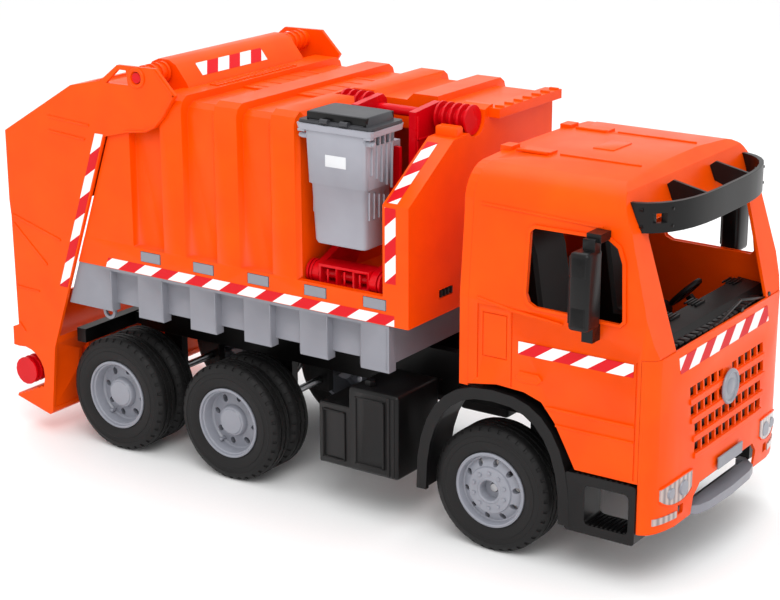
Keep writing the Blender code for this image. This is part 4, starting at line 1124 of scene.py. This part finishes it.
@dataclass
class Tailgate:
    """The hopper with its pressed lines, edge tape and rear lifting shaft."""
    plate: float = 128.3
    tilt: float = 0.351

    def edge_x(self, z: float) -> float:
        """Front edge of the side plate at height z."""
        return -212.4 - self.tilt * (360 - z)

    def build_plate_lines(self, side: Side) -> None:
        """Pressed lines, fold ridge and pivot boss on one side plate."""
        sign = side.value
        y = sign * (self.plate - 0.4)
        push = (0, sign * 1.3, 0)
        work = bmesh.new()
        lines = [[(-352, 222), (-290, 206), (-290, 207.6), (-352, 224.4)],
                 [(-298, 326.6), (-246, 323.6), (-246, 325.4), (-298, 328.6)],
                 [(-298, 312.6), (-252, 309.6), (-252, 311.4), (-298, 314.6)],
                 [(-352, 214), (-310, 178), (-309, 179.6), (-351, 215.8)],
                 [(-352.5, 112), (-345, 104), (-343.6, 105), (-351.4, 113.4)],
                 [(-352, 150), (-322, 149), (-322, 150.2), (-352, 151.4)]]
        for outline in lines:
            add_outline(work, [(x, y, z) for x, z in outline], push)
        rim = [(-201, 323.6), (-177.4, 326.6), (-165.4, 332), (-155, 342.4), (-139.8, 364), (-162, 385.6)]
        for (x0, z0), (x1, z1) in zip(rim, rim[1:]):
            run = Vector((x1 - x0, 0, z1 - z0)).normalized()
            inner = Vector((-run.z, 0, run.x)) * 1.6
            outline = [(x0, y, z0), (x1, y, z1), (x1 + inner.x, y, z1 + inner.z),
                       (x0 + inner.x, y, z0 + inner.z)]
            add_outline(work, outline, push)
        trim("tailgate_lines_" + side.name.lower(), work, ORANGE, "tailgate", 45)
        work = bmesh.new()
        profile = [(6.2, 0), (9.6, 0), (9.6, 1), (8.8, 1.8), (6.2, 1.8)]
        add_turned(work, profile, Axis.Y, (-184, 376), sign * (self.plate - 0.2), sign, 40)
        trim("hinge_boss_" + side.name.lower(), work, ORANGE, "tailgate", 35)

    def build(self) -> None:
        """Make the whole tailgate."""
        gate = node_copy("tailgate")
        swap("tailgate_skin", gate, "tailgate", "tailgate", ORANGE, 28)
        for side in Side:
            self.build_plate_lines(side)
            sign = side.value
            y = sign * (self.plate + 0.05)
            outline = [(self.edge_x(160) - 1.6, y, 160), (self.edge_x(318) - 1.6, y, 318),
                       (self.edge_x(318) - 11.4, y, 318), (self.edge_x(160) - 11.4, y, 160)]
            Tape("tailgate_" + side.name.lower(), "tailgate", outline, (0, sign * 0.25, 0),
                 (-0.7, 0, 1), 34, 0.2).build()
        mould(RED, "rear_lift", "rear_lift_shaft", "rear_lift_comb")
        work = bmesh.new()
        for i in range(11):
            y = -98 + i * 19.6
            add_box(work, (-357.4, y - 1.2, 226), (-354.6, y + 1.2, 296), 0.6)
        add_box(work, (-356.9, -106, 300), (-355.2, 106, 303), 0.6)
        trim("rear_panel_ribs", work, ORANGE, "tailgate")
        work = bmesh.new()
        for sign in (-1, 1):
            for z in (160, 190):
                add_box(work, (-357, sign * 110, z - 6), (-355, sign * 122, z + 6), 0.8)
        trim("rear_lamp_blocks", work, RED, "tailgate")


# ------------------------------------------------------------------ side lifter and bin

@dataclass
class BinLifter:
    """The red side lifter and the grey two-step waste bin on it."""
    bin_x: float = 35.5

    def build_lifter(self) -> None:
        """Dress the lifter's nodes and add the arms' raised frames."""
        mould(RED, "side_lifter", "lifter_shaft", "lifter_arm_front", "lifter_arm_rear",
              "lifter_back_plate", "lifter_crossbar")
        work = bmesh.new()
        for low, high in ((69.2, 70.6), (-0.4, 1.2)):
            for z in (262, 286, 310, 334):
                add_box(work, (low, -50, z), (high, -20, z + 2), 0.5)
            add_box(work, (low, -50, 250), (high, -47.6, 356), 0.5)
        trim("lifter_arm_ribs", work, RED, "side_lifter")
        work = bmesh.new()
        for x in (18.5, 36.5, 53):
            add_box(work, (x - 0.9, -115, 212), (x + 0.9, -113.4, 225), 0.4)
        trim("lifter_bar_ribs", work, RED, "side_lifter")

    def build_bin(self) -> None:
        """The bin with its ribs under the rim, its seams and the lid."""
        body = node_copy("bin_body")
        swap("bin_skin", body, "bin_body", "bin", BIN_GREY, 28)
        x = self.bin_x
        work = bmesh.new()
        for sign in (-1, 1):
            for i in range(5):
                y = -113.6 + 7.4 * i - 3.4
                top, bottom = 340, 316 - i * 4
                add_box(work, (x + sign * 31.2, y, bottom), (x + sign * 33.4, y + 1.6, top), 0.4)
                add_box(work, (x + sign * 28.6, y, 276), (x + sign * 30.2, y + 1.4, 301 - i * 2), 0.4)
        add_box(work, (x - 30, -125.3, 345), (x + 30, -123.6, 347), 0.5)
        trim("bin_ribs", work, BIN_GREY, "bin")
        work = bmesh.new()
        for sign in (-1, 1):
            add_box(work, (x + sign * 31, -127.4, 349), (x + sign * 38.4, -121, 351.6), 0.6)
            add_rod(work, Axis.X, (-122, 345), 2, *sorted((x + sign * 36, x + sign * 39.4)), 16)
        trim("bin_grips", work, BIN_GREY, "bin")
        work = bmesh.new()
        add_box(work, (x - 11, -125, 320.4), (x + 11, -124.15, 331), 0.4)
        trim("bin_label_blank", work, LABEL, "bin")
        lid = node_copy("bin_lid")
        swap("lid_skin", lid, "bin_lid", "bin_lid", LID, 28)
        work = bmesh.new()
        for a, b, c, d in ((x - 31, x + 31, -123.4, -121.8), (x - 31, x + 31, -82.4, -80.8),
                           (x - 31.4, x - 29.8, -122, -82), (x + 29.8, x + 31.4, -122, -82)):
            add_box(work, (a, c, 358.8), (b, d, 366.6), 0.6)
        trim("lid_border", work, BLACK, "bin_lid")

    def build(self) -> None:
        """Make the lifter and the bin."""
        self.build_lifter()
        self.build_bin()


# ------------------------------------------------------------------ studio

@dataclass
class Studio:
    """Pale floor, soft light and the camera."""
    azimuth: float = 34.38
    elevation: float = 17.32
    distance: float = 1.8371
    target: Point = (0.0065, 0, 0.1646)
    lens: float = 90.22
    roll: float = -0.15

    def build_floor(self) -> None:
        """A broad flat pale floor."""
        mesh = bpy.data.meshes.new("floor")
        work = bmesh.new()
        bmesh.ops.create_grid(work, x_segments=2, y_segments=2, size=6)
        work.to_mesh(mesh)
        work.free()
        floor = bpy.data.objects.new("floor", mesh)
        bpy.context.scene.collection.objects.link(floor)
        material, tree, shader = new_tree("paper_white_floor")
        place = add_node(tree, "ShaderNodeTexCoord").outputs["Object"]
        fibre = add_node(tree, "ShaderNodeTexNoise", {}, {"Vector": place, "Scale": 400.0})
        tone = add_node(tree, "ShaderNodeMix", {"data_type": "RGBA"},
                        {"Factor": fibre.outputs["Fac"], "A": to_linear("#FBFBFB"),
                         "B": to_linear("#FFFFFF")})
        tree.links.new(tone.outputs["Result"], shader.inputs["Base Color"])
        shader.inputs["Roughness"].default_value = 0.55
        mesh.materials.append(material)

    def add_area(self, name: str, place: Point, aim: Point, size: float, power: float) -> None:
        """Add a square soft light.

        Args:
            name: the light's name.
            place: where it hangs, in metres.
            aim: the point it faces.
            size: its edge in metres.
            power: its power in watts.
        """
        data = bpy.data.lights.new(name, "AREA")
        data.size = size
        data.energy = power
        light = bpy.data.objects.new(name, data)
        bpy.context.scene.collection.objects.link(light)
        light.location = place
        light.rotation_euler = (Vector(aim) - Vector(place)).to_track_quat("-Z", "Y").to_euler()

    def build_light(self) -> None:
        """A bright even surround with a large key light above and fills at the sides."""
        world = bpy.data.worlds.new("studio")
        bpy.context.scene.world = world
        world.use_nodes = True
        world.node_tree.nodes["Background"].inputs["Color"].default_value = (1, 1, 1, 1)
        world.node_tree.nodes["Background"].inputs["Strength"].default_value = 0.97
        self.add_area("key", (0.9, -1.3, 1.9), (0, 0, 0.15), 1.2, 22)
        self.add_area("top", (-0.3, 0.3, 2), (0, 0, 0.2), 1.6, 14)
        self.add_area("fill", (-1.6, -1.4, 0.9), (0, 0, 0.2), 1.2, 2)
        view = bpy.context.scene.view_settings
        view.view_transform = "Standard"
        view.look = "None"
        view.exposure = 0

    def build_camera(self) -> None:
        """The camera, low at the front corner of the lifter side."""
        data = bpy.data.cameras.new("camera")
        data.lens = self.lens
        data.sensor_width = 36
        data.clip_end = 50
        camera = bpy.data.objects.new("camera", data)
        bpy.context.scene.collection.objects.link(camera)
        turn, rise = math.radians(self.azimuth), math.radians(self.elevation)
        away = Vector((math.sin(turn) * math.cos(rise), -math.cos(turn) * math.cos(rise), math.sin(rise)))
        camera.location = Vector(self.target) + away * self.distance
        look = (-away).to_track_quat("-Z", "Y").to_matrix().to_4x4()
        rolled = look @ Matrix.Rotation(math.radians(self.roll), 4, "Z")
        camera.matrix_world = Matrix.Translation(camera.location) @ rolled
        bpy.context.scene.camera = camera

    def build(self) -> None:
        """Set the whole stage."""
        self.build_floor()
        self.build_light()
        self.build_camera()


@dataclass
class RefuseTruck:
    """The whole toy."""
    wheels: list[Wheel] = field(default_factory=lambda: [Wheel(p, s) for p in AxlePlace for s in Side])
    cab: Cab = field(default_factory=Cab)
    container: Container = field(default_factory=Container)
    tailgate: Tailgate = field(default_factory=Tailgate)
    lifter: BinLifter = field(default_factory=BinLifter)

    def build(self) -> None:
        """Make every sub-assembly in order."""
        dress(BLACK, "chassis_frame")
        dress(DrawnSteel(), "axle_front", "axle_mid", "axle_rear")
        for wheel in self.wheels:
            wheel.build()
        self.cab.build()
        self.container.build()
        self.tailgate.build()
        self.lifter.build()


def main() -> None:
    """Load the frame and build the truck and its stage."""
    logging.basicConfig(level=logging.INFO, format="%(name)s: %(message)s")
    _frame.update(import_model())
    Studio().build()
    RefuseTruck().build()


if __name__ == "__main__":
    main()
